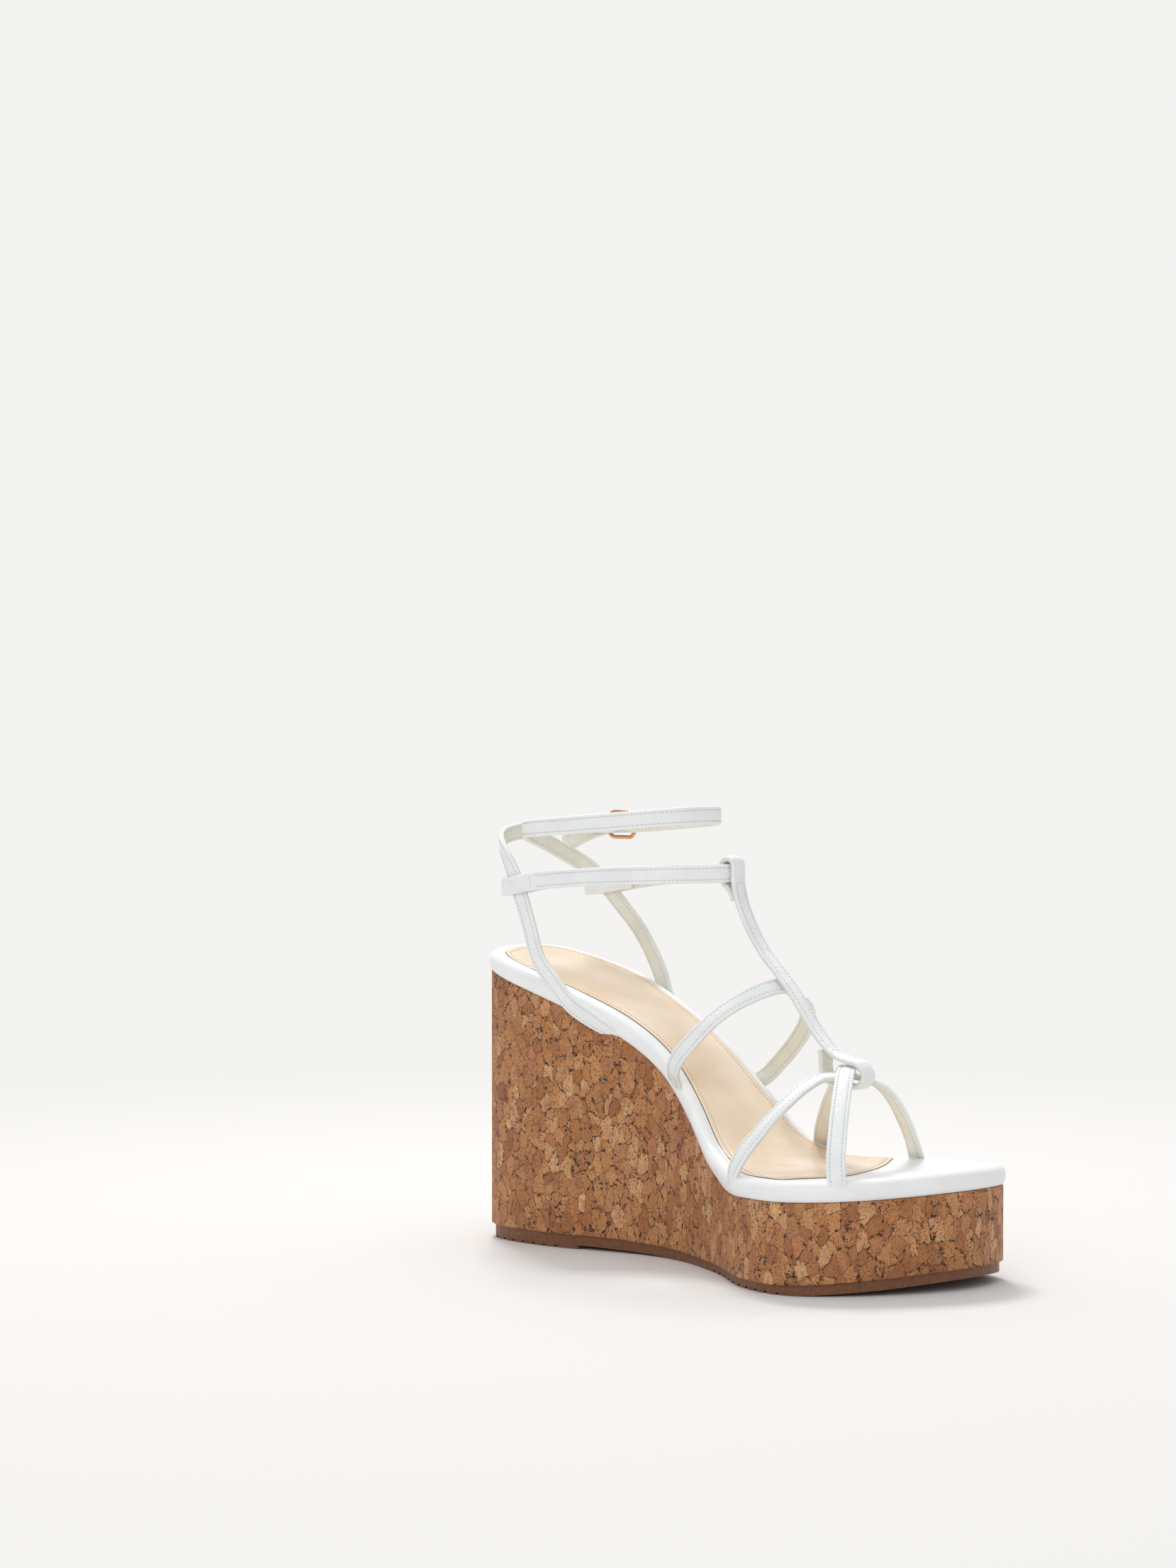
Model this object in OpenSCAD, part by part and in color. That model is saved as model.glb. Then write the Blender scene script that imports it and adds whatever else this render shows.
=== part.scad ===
// Left wedge sandal: cork-wrapped platform wedge, padded footbed, crossed toe straps,
// centre strap, ankle band and an ankle strap with a small buckle.
// Toe towards -Y, heel +Y, inner (big toe) side -X, outer (buckle) side +X, +Z up.

/* [Sole] */
// Length of the sole from heel to toe
sole_len = 240; // [225:1:255]
// Thickness of the cork sheet round the wedge
cork_t = 1.4; // [1:0.1:2]
// How far the outsole stands in from the cork
outsole_inset = 1.5; // [1:0.1:2]
// Height of the moulded heel pad under the sheet
heel_pad_h = 1.5; // [1:0.1:2]
// Depth of the tread grooves
groove_d = 0.8; // [0.5:0.1:1.2]

/* [Footbed] */
// Thickness of the insole board
board_t = 2.5; // [2:0.1:3]
// Thickness of the foam under the sock
foam_t = 3.5; // [2.5:0.1:4]
// Thickness of the sock lining
sock_t = 1.2; // [1:0.1:1.4]
// Height of the padded cover's edge above the cork
cover_h = 8; // [7.6:0.1:8.6]
// How far the sock stands in from the edge
sock_inset = 5.4; // [5:0.1:6]

/* [Straps] */
// Width of every strap
strap_w = 7.4; // [6.8:0.1:7.8]
// Thickness of a strap's outer with its folded edges
outer_t = 1.3; // [1:0.1:1.4]
// Thickness of a strap's lining
lining_t = 0.8; // [0.6:0.1:0.9]

/* [Buckle] */
// Diameter of the buckle wire
wire_d = 1.7; // [1.5:0.1:1.8]
// Length of the buckle along the strap
buckle_l = 14; // [13.5:0.1:14.5]
// Height of the buckle across the strap
buckle_h = 12.4; // [12:0.1:13]
// Diameter of the prong
prong_d = 1.2; // [1:0.1:1.3]

/* [Hidden] */

k = sole_len / 240;
lining_w = strap_w - 0.6;
steps = 6;           // samples between two route points
far = 130 * k;       // past the heel and the toe
wide = 140 * k;      // past both sides

// Plan outline of the wedge, from the heel down the outer side and back up the inner side
outline = [[5, 120.4], [27, 113], [36.5, 80], [32, 42], [33, 5], [38, -34], [49, -73], [41.5, -110],
    [12, -120.2], [-24, -106], [-49, -80], [-47, -52], [-26, -18], [-12.5, 22], [-22.5, 78], [-18, 112]];
// Front edge of the sock, from the outer to the inner side, as a mask that keeps what lies behind it
sock_mask = [[70, 140], [70, -44], [43, -56], [30, -64], [18, -71.5], [4, -78], [-9, -82], [-20, -84.5],
    [-30, -82], [-38, -75], [-70, -66], [-70, 140]];
// Side profile of the cork's top edge, as height over length
cork_top = [[-130, 39.6], [-118, 38], [-100, 36.2], [-80, 35.4], [-60, 35], [-45, 34.6], [-32, 35.8],
    [-16, 42], [0, 56], [20, 74], [40, 87], [60, 96], [80, 103], [104, 109.6], [130, 116.4]];
// Side profile of the cork's bottom edge
cork_bottom = [[-130, 10.2], [-118, 8.2], [-103, 6], [-90, 4.6], [-76, 3.7], [-58, 3.5], [-20, 3.5],
    [5, 3.7], [28, 4.6], [45, 5.4], [62, 5.6], [95, 5.6], [130, 5.6]];
// Side profile of the tread, without the heel pad
tread = [[-130, 6.6], [-118, 4.4], [-103, 2], [-90, 0.7], [-78, 0], [-40, 0], [10, 0], [30, 0.7], [50, 1.3],
    [62, 1.5], [95, 1.5], [130, 1.5]];
heel_pad_front = 62;

// ---- curves ----------------------------------------------------------------
function unit(v) = v / norm(v);
// Catmull-Rom blend of four neighbouring points
function blend(a, b, c, d, t) =
    0.5 * (2 * b + (c - a) * t + (2 * a - 5 * b + 4 * c - d) * t * t + (3 * b - a - 3 * c + d) * t * t * t);
function at(p, i) = p[max(0, min(len(p) - 1, i))];
function open_curve(p, n) = [for (i = [0 : len(p) - 2]) for (j = [0 : n - 1])
    blend(at(p, i - 1), p[i], p[i + 1], at(p, i + 2), j / n), p[len(p) - 1]];
function closed_curve(p, n) = let (m = len(p)) [for (i = [0 : m - 1]) for (j = [0 : n - 1])
    blend(p[(i + m - 1) % m], p[i], p[(i + 1) % m], p[(i + 2) % m], j / n)];
// The outline moved inwards by a distance along its own normals
function moved_in(p, d) = let (m = len(p)) [for (i = [0 : m - 1])
    let (t = unit(p[(i + 1) % m] - p[(i + m - 1) % m])) p[i] + d * [t[1], -t[0]]];
function reversed(p) = [for (i = [len(p) - 1 : -1 : 0]) p[i]];
function raised(p, h) = [for (q = p) [q[0], q[1] + h]];

plan_curve = closed_curve(outline * k, 5);
top_curve = open_curve(cork_top * k, 3);
bottom_curve = open_curve(cork_bottom * k, 2);

// ---- sole shapes -----------------------------------------------------------
module plan(inset) linear_extrude(height = 180 * k) polygon(moved_in(plan_curve, inset));
// A slab between two side profiles, as wide as the whole shoe
module slab(low, high) rotate([90, 0, 90]) linear_extrude(height = wide, center = true)
    polygon(concat(low, reversed(high)));
module footbed_slab(h0, h1) slab(raised(top_curve, h0), raised(top_curve, h1));
module sock_area() linear_extrude(height = 180 * k) polygon(sock_mask * k);

module outsole() color("#6f4c33") difference() {
    union() {
        intersection() {
            plan(outsole_inset);
            slab(open_curve(tread * k, 2), bottom_curve);
        }
        intersection() {
            plan(outsole_inset);
            translate([-wide / 2, heel_pad_front * k, 0]) cube([wide, 80 * k, heel_pad_h * k + 0.2]);
        }
    }
    for (y = [-74 : 6 : -20]) translate([-wide / 2, y * k, -1]) cube([wide, 1.6, 1 + groove_d]);
    for (y = [72 : 6 : 108]) translate([-wide / 2, y * k, -1]) cube([wide, 1.6, 1 + groove_d]);
}

module wedge_core() color("#d8cbb2") intersection() {
    plan(cork_t);
    slab(bottom_curve, top_curve);
}

module cork_wrap() color("#b07c4f") difference() {
    intersection() {
        plan(0);
        slab(bottom_curve, top_curve);
    }
    plan(cork_t);
}

module insole_board() color("#a98e6a") intersection() {
    plan(4);
    footbed_slab(0, board_t);
}

module footbed_cover() color("#f2f4f5") difference() {
    intersection() {
        plan(0);
        footbed_slab(0, cover_h);
    }
    intersection() {
        plan(4);
        footbed_slab(-1, board_t);
    }
    intersection() {
        plan(sock_inset);
        sock_area();
        footbed_slab(board_t - 0.5, cover_h + 4);
    }
}

module sock_layer(h0, h1) intersection() {
    plan(sock_inset);
    sock_area();
    footbed_slab(h0, h1);
}

module foam_pad() color("#efe6c8") sock_layer(board_t, board_t + foam_t);
module sock_lining() color("#dfc8aa") sock_layer(board_t + foam_t, board_t + foam_t + sock_t);

// ---- straps ----------------------------------------------------------------
// A route is a list of [point, outward direction]; the strap's outer face looks outwards.
function route_points(r) = open_curve([for (q = r) q[0] * k], steps);
function route_normals(r) = open_curve([for (q = r) unit(q[1])], steps);
function ring(c, t, h, w, n0, n1) = let (side = unit(cross(t, h)), out = cross(side, t))
    [c - side * w / 2 + out * n0, c + side * w / 2 + out * n0,
     c + side * w / 2 + out * n1, c - side * w / 2 + out * n1];
// A flat band of width w, from n0 to n1 along its outward normal, swept along a route
module band(r, w, n0, n1) {
    p = route_points(r);
    h = route_normals(r);
    m = len(p);
    rings = [for (i = [0 : m - 1]) each ring(p[i], unit(at(p, i + 1) - at(p, i - 1)), h[i], w, n0, n1)];
    sides = [for (i = [0 : m - 2]) for (e = [0 : 3]) let (a = 4 * i + e, b = 4 * i + (e + 1) % 4)
        each [[a, b, b + 4], [a, b + 4, a + 4]]];
    last = 4 * (m - 1);
    caps = [[2, 1, 0], [3, 2, 0], [last, last + 1, last + 2], [last, last + 2, last + 3]];
    polyhedron(points = rings, faces = concat(sides, caps));
}
module strap_outer(r) color("#f2f5f6") band(r, strap_w, 0, outer_t);
module strap_lining(r) color("#dedfd2") band(r, lining_w, -lining_t, 0);

// Rear toe strap: inner side behind the ball, through the front loop, to the outer front
rear_toe_route = [[[-39.6, -46.4, 36.1], [0, 0, -1]], [[-41.4, -45.6, 36.1], [-0.3, 0.15, -1]],
    [[-42.6, -45, 36.9], [-0.9, 0.45, -0.8]], [[-43, -45.2, 39.2], [-0.9, 0.45, 0]],
    [[-43.4, -46.6, 44.6], [-1, 0.35, 0.1]], [[-42.2, -50.6, 52], [-1, 0.2, 0.3]], [[-39, -55, 58.6], [-1, 0.2, 0.5]], [[-35, -58, 64.4], [-0.9, 0.2, 0.8]],
    [[-29, -60, 69.6], [-0.6, 0.1, 1]], [[-21, -61.4, 74.8], [-0.4, 0, 1]], [[-12, -62.6, 78.1], [-0.2, 0, 1]],
    [[-7, -65.8, 79], [-0.1, -0.1, 1]], [[-2, -69.2, 79.1], [0, -0.1, 1]], [[3, -71.8, 77.8], [0.2, -0.2, 1]],
    [[12, -74, 73.8], [0.5, -0.2, 1]], [[22, -72.4, 66.6], [0.7, -0.2, 0.8]], [[31, -69.7, 58.6], [0.9, -0.1, 0.6]],
    [[39.4, -66.8, 49.6], [1, -0.1, 0.4]], [[45.2, -64.4, 42.4], [1, 0.1, 0.3]], [[46.9, -63.9, 39], [1, 0.2, 0]],
    [[46.4, -64, 37.2], [1, 0.2, -0.9]], [[44.9, -64.4, 36.5], [0.2, 0, -1]], [[43, -64.9, 36.5], [0, 0, -1]]];
// Front toe strap: inner front, over the rear one in the loop, to the outer side behind the ball
front_toe_route = [[[-35.1, -90.8, 37.3], [0, 0, -1]], [[-36.6, -92.5, 37.3], [-0.2, -0.2, -1]],
    [[-37.6, -93.5, 38.2], [-0.7, -0.7, -0.8]], [[-38, -93.7, 40.6], [-0.7, -0.7, 0]],
    [[-38, -92.9, 45], [-0.75, -0.6, 0.1]], [[-36, -91, 51], [-0.8, -0.5, 0.3]], [[-31.8, -88, 57.6], [-0.7, -0.5, 0.5]],
    [[-25, -83.4, 66.2], [-0.6, -0.4, 0.8]], [[-15.4, -77.2, 76], [-0.4, -0.2, 1]], [[-9, -73, 80.8], [-0.2, -0.1, 1]],
    [[-3, -69, 81.6], [0, 0, 1]], [[2.4, -64.2, 81.2], [0.2, 0.1, 1]], [[8, -56, 75], [0.6, 0.2, 0.9]],
    [[17, -43, 63.8], [0.8, 0.2, 0.7]], [[26.6, -31.4, 53.2], [0.9, 0.2, 0.5]], [[33.4, -24.6, 46.8], [1, 0.1, 0.4]],
    [[35.4, -22.4, 43.2], [1, 0.15, 0]], [[35, -22, 41.4], [0.8, 0.3, -0.7]], [[33.6, -22.2, 40.6], [0.2, 0.4, -0.9]],
    [[31.6, -22.4, 40.5], [0, 0.4, -0.9]]];
// Instep strap: a hoop over the waist that passes under the centre strap
instep_route = [[[-9.8, 12, 69.9], [0, 0.67, -0.74]], [[-11.6, 12, 69.7], [-0.2, 0.6, -0.74]],
    [[-12.8, 11.8, 70.2], [-0.8, 0.5, -0.5]], [[-14.2, 10.8, 71.4], [-1, 0.1, 0]], [[-17, 9.2, 74], [-1, 0, 0]],
    [[-20.6, 6.4, 78], [-1, 0, 0.1]], [[-22, 2.4, 83], [-1, 0, 0.2]], [[-21.4, -3.4, 89], [-1, -0.1, 0.4]],
    [[-18.6, -12.6, 98.2], [-0.8, -0.2, 0.7]], [[-14.8, -19, 103.8], [-0.6, -0.4, 0.9]],
    [[-9.6, -24.6, 108], [-0.3, -0.7, 1]], [[-3.4, -28.6, 110.8], [-0.1, -0.9, 1]],
    [[3, -30.6, 111.4], [0, -0.9, 1]], [[9.6, -31, 109], [0.3, -0.8, 1]], [[16.6, -30.2, 105], [0.7, -0.4, 0.9]],
    [[22.6, -26.6, 99.2], [0.8, -0.2, 0.7]], [[27, -21, 93], [0.9, -0.1, 0.5]], [[31, -11.6, 85], [1, 0, 0.3]],
    [[34, -1.6, 77.4], [1, 0, 0.1]], [[34.6, 5.4, 71.8], [1, 0, 0]], [[33.4, 9.2, 69.4], [1, 0.3, -0.2]],
    [[32, 10.6, 68.8], [0.8, 0.5, -0.5]], [[30.6, 11, 69.2], [0.2, 0.6, -0.74]], [[28.8, 11.2, 69.4], [0, 0.67, -0.74]]];
// Centre strap: folded round the ankle band at the top and round both toe straps at the front
centre_route = [[[4.8, -5.2, 144.8], [0, 1, -0.4]], [[4.9, -4.2, 147.2], [0, 1, -0.4]], [[5, -2.3, 149.4], [0, 1, -0.6]],
    [[5, 0.2, 151.6], [0, 1, -0.5]], [[5, 1.2, 154.4], [0, 1, 0]], [[5, 1.2, 158.3], [0, 1, 0]], [[5, 0.3, 160.4], [0, 0.7, 0.7]],
    [[5, -1.8, 161.2], [0, 0, 1]], [[5, -3.8, 160.4], [0, -0.7, 0.7]], [[5, -4.6, 158.2], [0, -1, 0]],
    [[5, -4.6, 154.6], [0, -1, 0]], [[4.9, -5.2, 150], [0, -1, 0.2]], [[4.6, -7.8, 142.6], [0, -1, 0.4]],
    [[4.2, -13.4, 133], [0, -1, 0.6]], [[3.6, -20.8, 124], [0, -1, 0.8]], [[3, -28.6, 117.2], [0, -1, 1]],
    [[2.2, -38, 108.4], [0, -1, 0.9]], [[1, -47.8, 97.6], [0, -1, 0.8]], [[0, -55.4, 90.8], [0, -0.9, 1]],
    [[-1, -62.4, 86.6], [0, -0.5, 1]], [[-1.8, -69, 84.9], [0, -0.3, 1]], [[-2, -74.8, 83.9], [0, -0.6, 1]],
    [[-2, -78.2, 80.1], [0, -1, 0]], [[-2, -76.3, 76.7], [0, -0.7, -0.7]], [[-2, -72, 75.4], [0, 0, -1]],
    [[-1.8, -64, 76], [0, 0.1, -1]], [[-1.4, -58.4, 78], [0, 0.7, -0.7]], [[-1, -56.5, 81.8], [0, 1, -0.4]],
    [[-0.7, -56.3, 85.2], [0, 1, -0.4]], [[-0.4, -55.4, 88.3], [0, 1, -1]]];
// Ankle band: a loop round the outer stay, round the front of the ankle, a loop round the inner stay
ankle_route = [[[35, 82, 149], [-1, 0, 0]], [[33.7, 88.6, 147.8], [-1, 0, 0]], [[33.2, 96, 146.6], [-1, 0, 0]],
    [[32.8, 103, 145.6], [-1, 0, 0]], [[33.6, 106.2, 145.2], [-0.7, 0.7, 0]], [[35.7, 107.4, 145], [0, 1, 0]],
    [[37.4, 106, 145.2], [0.7, 0.7, 0]], [[38, 103, 145.6], [1, 0, 0]], [[38.3, 96, 146.4], [1, 0, 0]],
    [[38, 88, 147.6], [1, 0, 0]], [[37, 80, 149], [1, 0, 0]],
    [[35.6, 65, 151], [1, 0, 0]], [[33, 45, 152.8], [0.95, -0.3, 0]], [[28, 25, 154.3], [0.8, -0.6, 0]],
    [[18, 7, 155.3], [0.5, -0.87, 0]], [[5, -2, 155.6], [0, -1, 0]], [[-9, 4, 155.4], [-0.5, -0.87, 0]],
    [[-20, 16, 155.1], [-0.8, -0.6, 0]], [[-26, 36, 154.2], [-1, -0.25, 0]], [[-27.8, 58, 152.6], [-1, 0, 0]],
    [[-28.2, 73, 151.2], [-1, 0, 0]], [[-29, 80, 150.2], [-1, 0, 0]], [[-29.2, 90, 148.4], [-1, 0, 0]],
    [[-28.4, 94, 147.8], [-0.7, 0.7, 0]], [[-26.5, 95.6, 147.6], [0, 1, 0]], [[-24.6, 94, 147.8], [0.7, 0.7, 0]],
    [[-23.8, 90, 148.4], [1, 0, 0]], [[-24, 82, 149.8], [1, 0, 0]], [[-26.1, 74.6, 151], [1, 0, 0]]];
// Hole strap: outer stay, through its loop, behind the heel, round the ankle, out through the buckle
hole_route = [[[29.6, 30, 77.4], [1, 0, 0]], [[31.2, 36, 82.6], [1, 0, 0]], [[33, 45, 87.4], [1, 0, 0]],
    [[34.8, 54, 91.4], [1, 0, 0]], [[36, 60, 95.6], [1, 0, 0]], [[36.8, 64, 101.8], [1, 0, 0]],
    [[36.9, 68, 111.4], [1, 0.1, 0]], [[36.6, 73.6, 121], [1, 0, 0]], [[36.1, 80, 129.6], [1, 0, 0]],
    [[35.7, 88, 137.2], [1, 0, 0]], [[35.6, 94, 142.6], [1, 0, 0]], [[35.5, 98.6, 147], [1, 0, 0]], [[34.9, 101.8, 150.2], [1, 0, 0]],
    [[32.2, 105, 153.8], [0.9, 0.5, 0]], [[28, 107, 156.8], [0.6, 0.9, 0]], [[22, 108, 159.8], [0.4, 1, 0]],
    [[13, 107.6, 163.6], [0.1, 1, 0]], [[2, 105.2, 167.1], [-0.2, 1, 0]], [[-8, 100.8, 169.5], [-0.5, 0.9, 0]],
    [[-17, 93.4, 171.2], [-0.7, 0.7, 0]], [[-23, 83.6, 172.2], [-0.9, 0.4, 0]], [[-25.8, 72, 173.1], [-1, 0.1, 0]],
    [[-26, 58, 174.2], [-1, 0, 0]], [[-24.2, 42, 175.6], [-1, -0.2, 0]], [[-18.5, 27, 177], [-0.8, -0.6, 0]],
    [[-8, 17.4, 178], [-0.4, -0.9, 0]], [[5, 14.4, 178.4], [0, -1, 0]], [[17, 17.2, 178], [0.5, -0.87, 0]],
    [[26.6, 27, 177], [0.8, -0.5, 0]], [[33, 41, 175.8], [0.95, -0.3, 0]], [[35.2, 55, 174.6], [1, 0, 0]],
    [[34.5, 66, 173.6], [1, 0.2, 0]], [[32.6, 74, 173], [1, 0.3, 0]], [[31.7, 78.4, 172.7], [1, 0.2, 0]],
    [[32.1, 81.1, 172.6], [1, -0.2, 0]], [[34.1, 84.3, 172.5], [1, -0.5, 0]], [[35.3, 87, 172.3], [1, -0.2, 0]],
    [[35.4, 89.8, 172.2], [1, 0.1, 0]], [[34.8, 93, 172], [1, 0.3, 0]], [[33.9, 96, 171.4], [1, 0.4, 0]]];
tail_route = [[[33.8, 96.4, 171.3], [1, 0.4, 0]], [[31.6, 101.4, 169.6], [1, 0.5, 0]], [[28.6, 106.8, 166.8], [1, 0.6, 0]],
    [[25.2, 111.8, 163.6], [1, 0.7, 0]]];
// Buckle strap: inner stay, through its loop, behind the hole strap, folded round the buckle's bar
buckle_route = [[[-9.2, 33.4, 80.8], [0, 0, -1]], [[-12.3, 38.6, 85.4], [-0.5, 0, -0.85]],
    [[-15.3, 45.6, 90.2], [-0.9, 0, -0.45]], [[-17, 50.2, 92.9], [-0.97, 0, -0.22]], [[-18.3, 54.4, 95.2], [-1, 0, -0.05]],
    [[-19.6, 58.4, 97.5], [-1, 0, 0]], [[-20.6, 62.6, 100.2], [-1, 0, 0]], [[-21.4, 66.9, 104.1], [-1, 0, 0]],
    [[-22, 71.6, 109.3], [-1, 0, 0]], [[-22.8, 77.2, 115.2], [-1, 0, 0]], [[-23.9, 80.2, 121.4], [-1, 0, 0]],
    [[-25.4, 82, 130.4], [-1, 0, 0]], [[-26.2, 85, 140.4], [-1, 0, 0]], [[-26.5, 88.4, 148.4], [-1, 0, 0]],
    [[-26.6, 91, 154.4], [-1, 0.1, 0]],
    [[-26.2, 95, 160.4], [-1, 0.5, 0]], [[-23.2, 100.6, 165], [-0.7, 0.8, 0]], [[-16, 106.4, 168], [-0.3, 1, 0]],
    [[-6, 110, 169.4], [-0.1, 1, 0]], [[5, 111, 170.4], [0.1, 1, 0]], [[15, 108.6, 171.2], [0.4, 0.9, 0]],
    [[23.6, 103.4, 171.8], [0.7, 0.8, 0]], [[29.2, 97.6, 172.2], [0.9, 0.5, 0]], [[31.8, 94.4, 172.3], [1, 0.25, 0]],
    [[32.75, 91.4, 172.3], [1, 0.25, 0]], [[32.5, 89.7, 172.3], [0.8, -0.6, 0]], [[31.4, 89.1, 172.3], [0.2, -1, 0]],
    [[30, 89.2, 172.3], [-0.7, -0.7, 0]], [[29.3, 90.6, 172.3], [-1, -0.25, 0]], [[28.9, 93.4, 172.3], [-1, -0.3, 0]],
    [[28.1, 96, 172.3], [-1, -0.4, 0]]];

// Cut for the prong through the hole strap and through the fold round the bar
module prong_hole() on_bar() translate([0.6, -9.6, -0.9]) cube([5.6, 7.4, 1.8]);
module prong_slot() on_bar() translate([-4, -3.4, -1.15]) cube([8, 6, 2.3]);
module strap_holes() for (q = [[34.8, 62.6, 173.9, 6], [34.9, 51.6, 174.9, -8]])
    translate([q[0], q[1], q[2]] * k) rotate([0, 90, q[3]]) cylinder(d = 1.5, h = 8, center = true, $fn = 20);
// What lies below the seam between the footbed and the cork, where the stays disappear
module below_seam() slab([[-130 * k, -5], [130 * k, -5]], top_curve);

module rear_toe_strap() strap_outer(rear_toe_route);
module rear_toe_strap_lining() strap_lining(rear_toe_route);
module front_toe_strap() strap_outer(front_toe_route);
module front_toe_strap_lining() strap_lining(front_toe_route);
module instep_strap() strap_outer(instep_route);
module instep_strap_lining() strap_lining(instep_route);
module centre_strap() strap_outer(centre_route);
module centre_strap_lining() strap_lining(centre_route);
module ankle_band() strap_outer(ankle_route);
module ankle_band_lining() strap_lining(ankle_route);
module hole_strap() difference() {
    strap_outer(hole_route);
    below_seam();
    prong_hole();
    strap_holes();
}
module hole_strap_lining() difference() {
    strap_lining(hole_route);
    below_seam();
    prong_hole();
    strap_holes();
}
module strap_tail() strap_outer(tail_route);
module strap_tail_lining() strap_lining(tail_route);
module buckle_strap() difference() {
    strap_outer(buckle_route);
    below_seam();
    prong_slot();
}
module buckle_strap_lining() difference() {
    strap_lining(buckle_route);
    below_seam();
    prong_slot();
}

// ---- buckle ----------------------------------------------------------------
// The bar stands upright at bar_at; the frame runs forward from it, turned by buckle_turn.
bar_at = [31, 91, 172.3];
buckle_turn = 14;
corner_r = 2.6;
module on_bar() translate(bar_at * k) rotate([0, 0, buckle_turn]) children();
module corner(y, z, a) translate([0, y, z]) rotate([a, 0, 0]) rotate([0, 90, 0])
    rotate_extrude(angle = 90, $fn = 32) translate([corner_r, 0]) circle(d = wire_d, $fn = 20);

module buckle_frame() color("#e3b08c") on_bar() {
    run = buckle_l - wire_d;
    rise = buckle_h / 2 - wire_d / 2;
    union() {
        for (y = [0, -run]) translate([0, y, -rise + corner_r])
            cylinder(d = wire_d, h = 2 * (rise - corner_r), $fn = 32);
        for (z = [-rise, rise]) translate([0, -corner_r, z]) rotate([90, 0, 0])
            cylinder(d = wire_d, h = run - 2 * corner_r, $fn = 32);
        corner(-corner_r, -rise + corner_r, 0);
        corner(-run + corner_r, -rise + corner_r, -90);
        corner(-run + corner_r, rise - corner_r, 180);
        corner(-corner_r, rise - corner_r, 90);
    }
}

module buckle_prong() color("#e3b08c") on_bar() {
    reach = buckle_l - wire_d;
    eye_r = wire_d / 2 + 0.05;
    lift = wire_d / 2 + prong_d / 2 + 0.05;
    difference() {
        cylinder(r = eye_r + 0.9, h = 1.6, center = true, $fn = 32);
        cylinder(r = eye_r, h = 4, center = true, $fn = 32);
    }
    translate([lift, 0.2, 0]) rotate([90, 0, 0]) cylinder(d = prong_d, h = reach + 0.8, $fn = 24);
    translate([lift, -reach - 0.6, 0]) sphere(d = prong_d, $fn = 24);
}

outsole();
wedge_core();
cork_wrap();
insole_board();
footbed_cover();
foam_pad();
sock_lining();
rear_toe_strap();
rear_toe_strap_lining();
front_toe_strap();
front_toe_strap_lining();
instep_strap();
instep_strap_lining();
centre_strap();
centre_strap_lining();
ankle_band();
ankle_band_lining();
hole_strap();
hole_strap_lining();
strap_tail();
strap_tail_lining();
buckle_strap();
buckle_strap_lining();
buckle_frame();
buckle_prong();
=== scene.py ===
"""A left platform wedge sandal: cork-wrapped sole, padded footbed, narrow stitched straps and a small buckle.

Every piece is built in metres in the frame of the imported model. Surfaces are worked out with numpy as whole
grids, and each one stands for a solid of that model or rides on one of its bodies.
"""
from __future__ import annotations

import logging
import math
from dataclasses import dataclass, field
from enum import Enum

import bmesh
import bpy
import numpy as np
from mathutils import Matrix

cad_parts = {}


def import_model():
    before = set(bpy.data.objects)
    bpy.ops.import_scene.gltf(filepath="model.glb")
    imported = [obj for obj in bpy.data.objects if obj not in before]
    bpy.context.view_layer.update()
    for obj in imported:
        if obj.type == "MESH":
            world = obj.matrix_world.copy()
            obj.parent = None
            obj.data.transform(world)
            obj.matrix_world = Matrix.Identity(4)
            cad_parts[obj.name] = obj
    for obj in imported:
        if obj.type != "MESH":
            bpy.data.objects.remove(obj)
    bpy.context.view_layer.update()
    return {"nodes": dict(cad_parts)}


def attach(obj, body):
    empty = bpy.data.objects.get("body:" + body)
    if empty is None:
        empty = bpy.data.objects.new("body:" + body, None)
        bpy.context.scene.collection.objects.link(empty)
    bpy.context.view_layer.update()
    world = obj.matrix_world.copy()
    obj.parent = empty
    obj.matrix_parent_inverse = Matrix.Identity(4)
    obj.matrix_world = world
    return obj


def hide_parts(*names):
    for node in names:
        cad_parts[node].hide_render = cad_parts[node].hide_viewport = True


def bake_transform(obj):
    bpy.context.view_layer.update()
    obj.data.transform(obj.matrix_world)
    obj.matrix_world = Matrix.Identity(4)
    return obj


LOG = logging.getLogger("sandal")
MM = 0.001
MERGE_MM = 0.004

# Plan outline of the wedge from the heel down the outer side, the front edge of the sock, and the side
# profiles of the cork as (length, height). All in millimetres.
OUTLINE = (
    (5, 120.4), (27, 113), (36.5, 80), (32, 42), (33, 5), (38, -34), (49, -73), (41.5, -110),
    (12, -120.2), (-24, -106), (-49, -80), (-47, -52), (-26, -18), (-12.5, 22), (-22.5, 78), (-18, 112),
)
SOCK_FRONT = (
    (70, 140), (70, -44), (43, -56), (30, -64), (18, -71.5), (4, -78), (-9, -82), (-20, -84.5),
    (-30, -82), (-38, -75), (-70, -66), (-70, 140),
)
CORK_TOP = (
    (-130, 39.6), (-118, 38), (-100, 36.2), (-80, 35.4), (-60, 35), (-45, 34.6), (-32, 35.8), (-16, 42),
    (0, 56), (20, 74), (40, 87), (60, 96), (80, 103), (104, 109.6), (130, 116.4),
)
CORK_BOTTOM = (
    (-130, 10.2), (-118, 8.2), (-103, 6), (-90, 4.6), (-76, 3.7), (-58, 3.5), (-20, 3.5), (5, 3.7),
    (28, 4.6), (45, 5.4), (62, 5.6), (95, 5.6), (130, 5.6),
)

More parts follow.
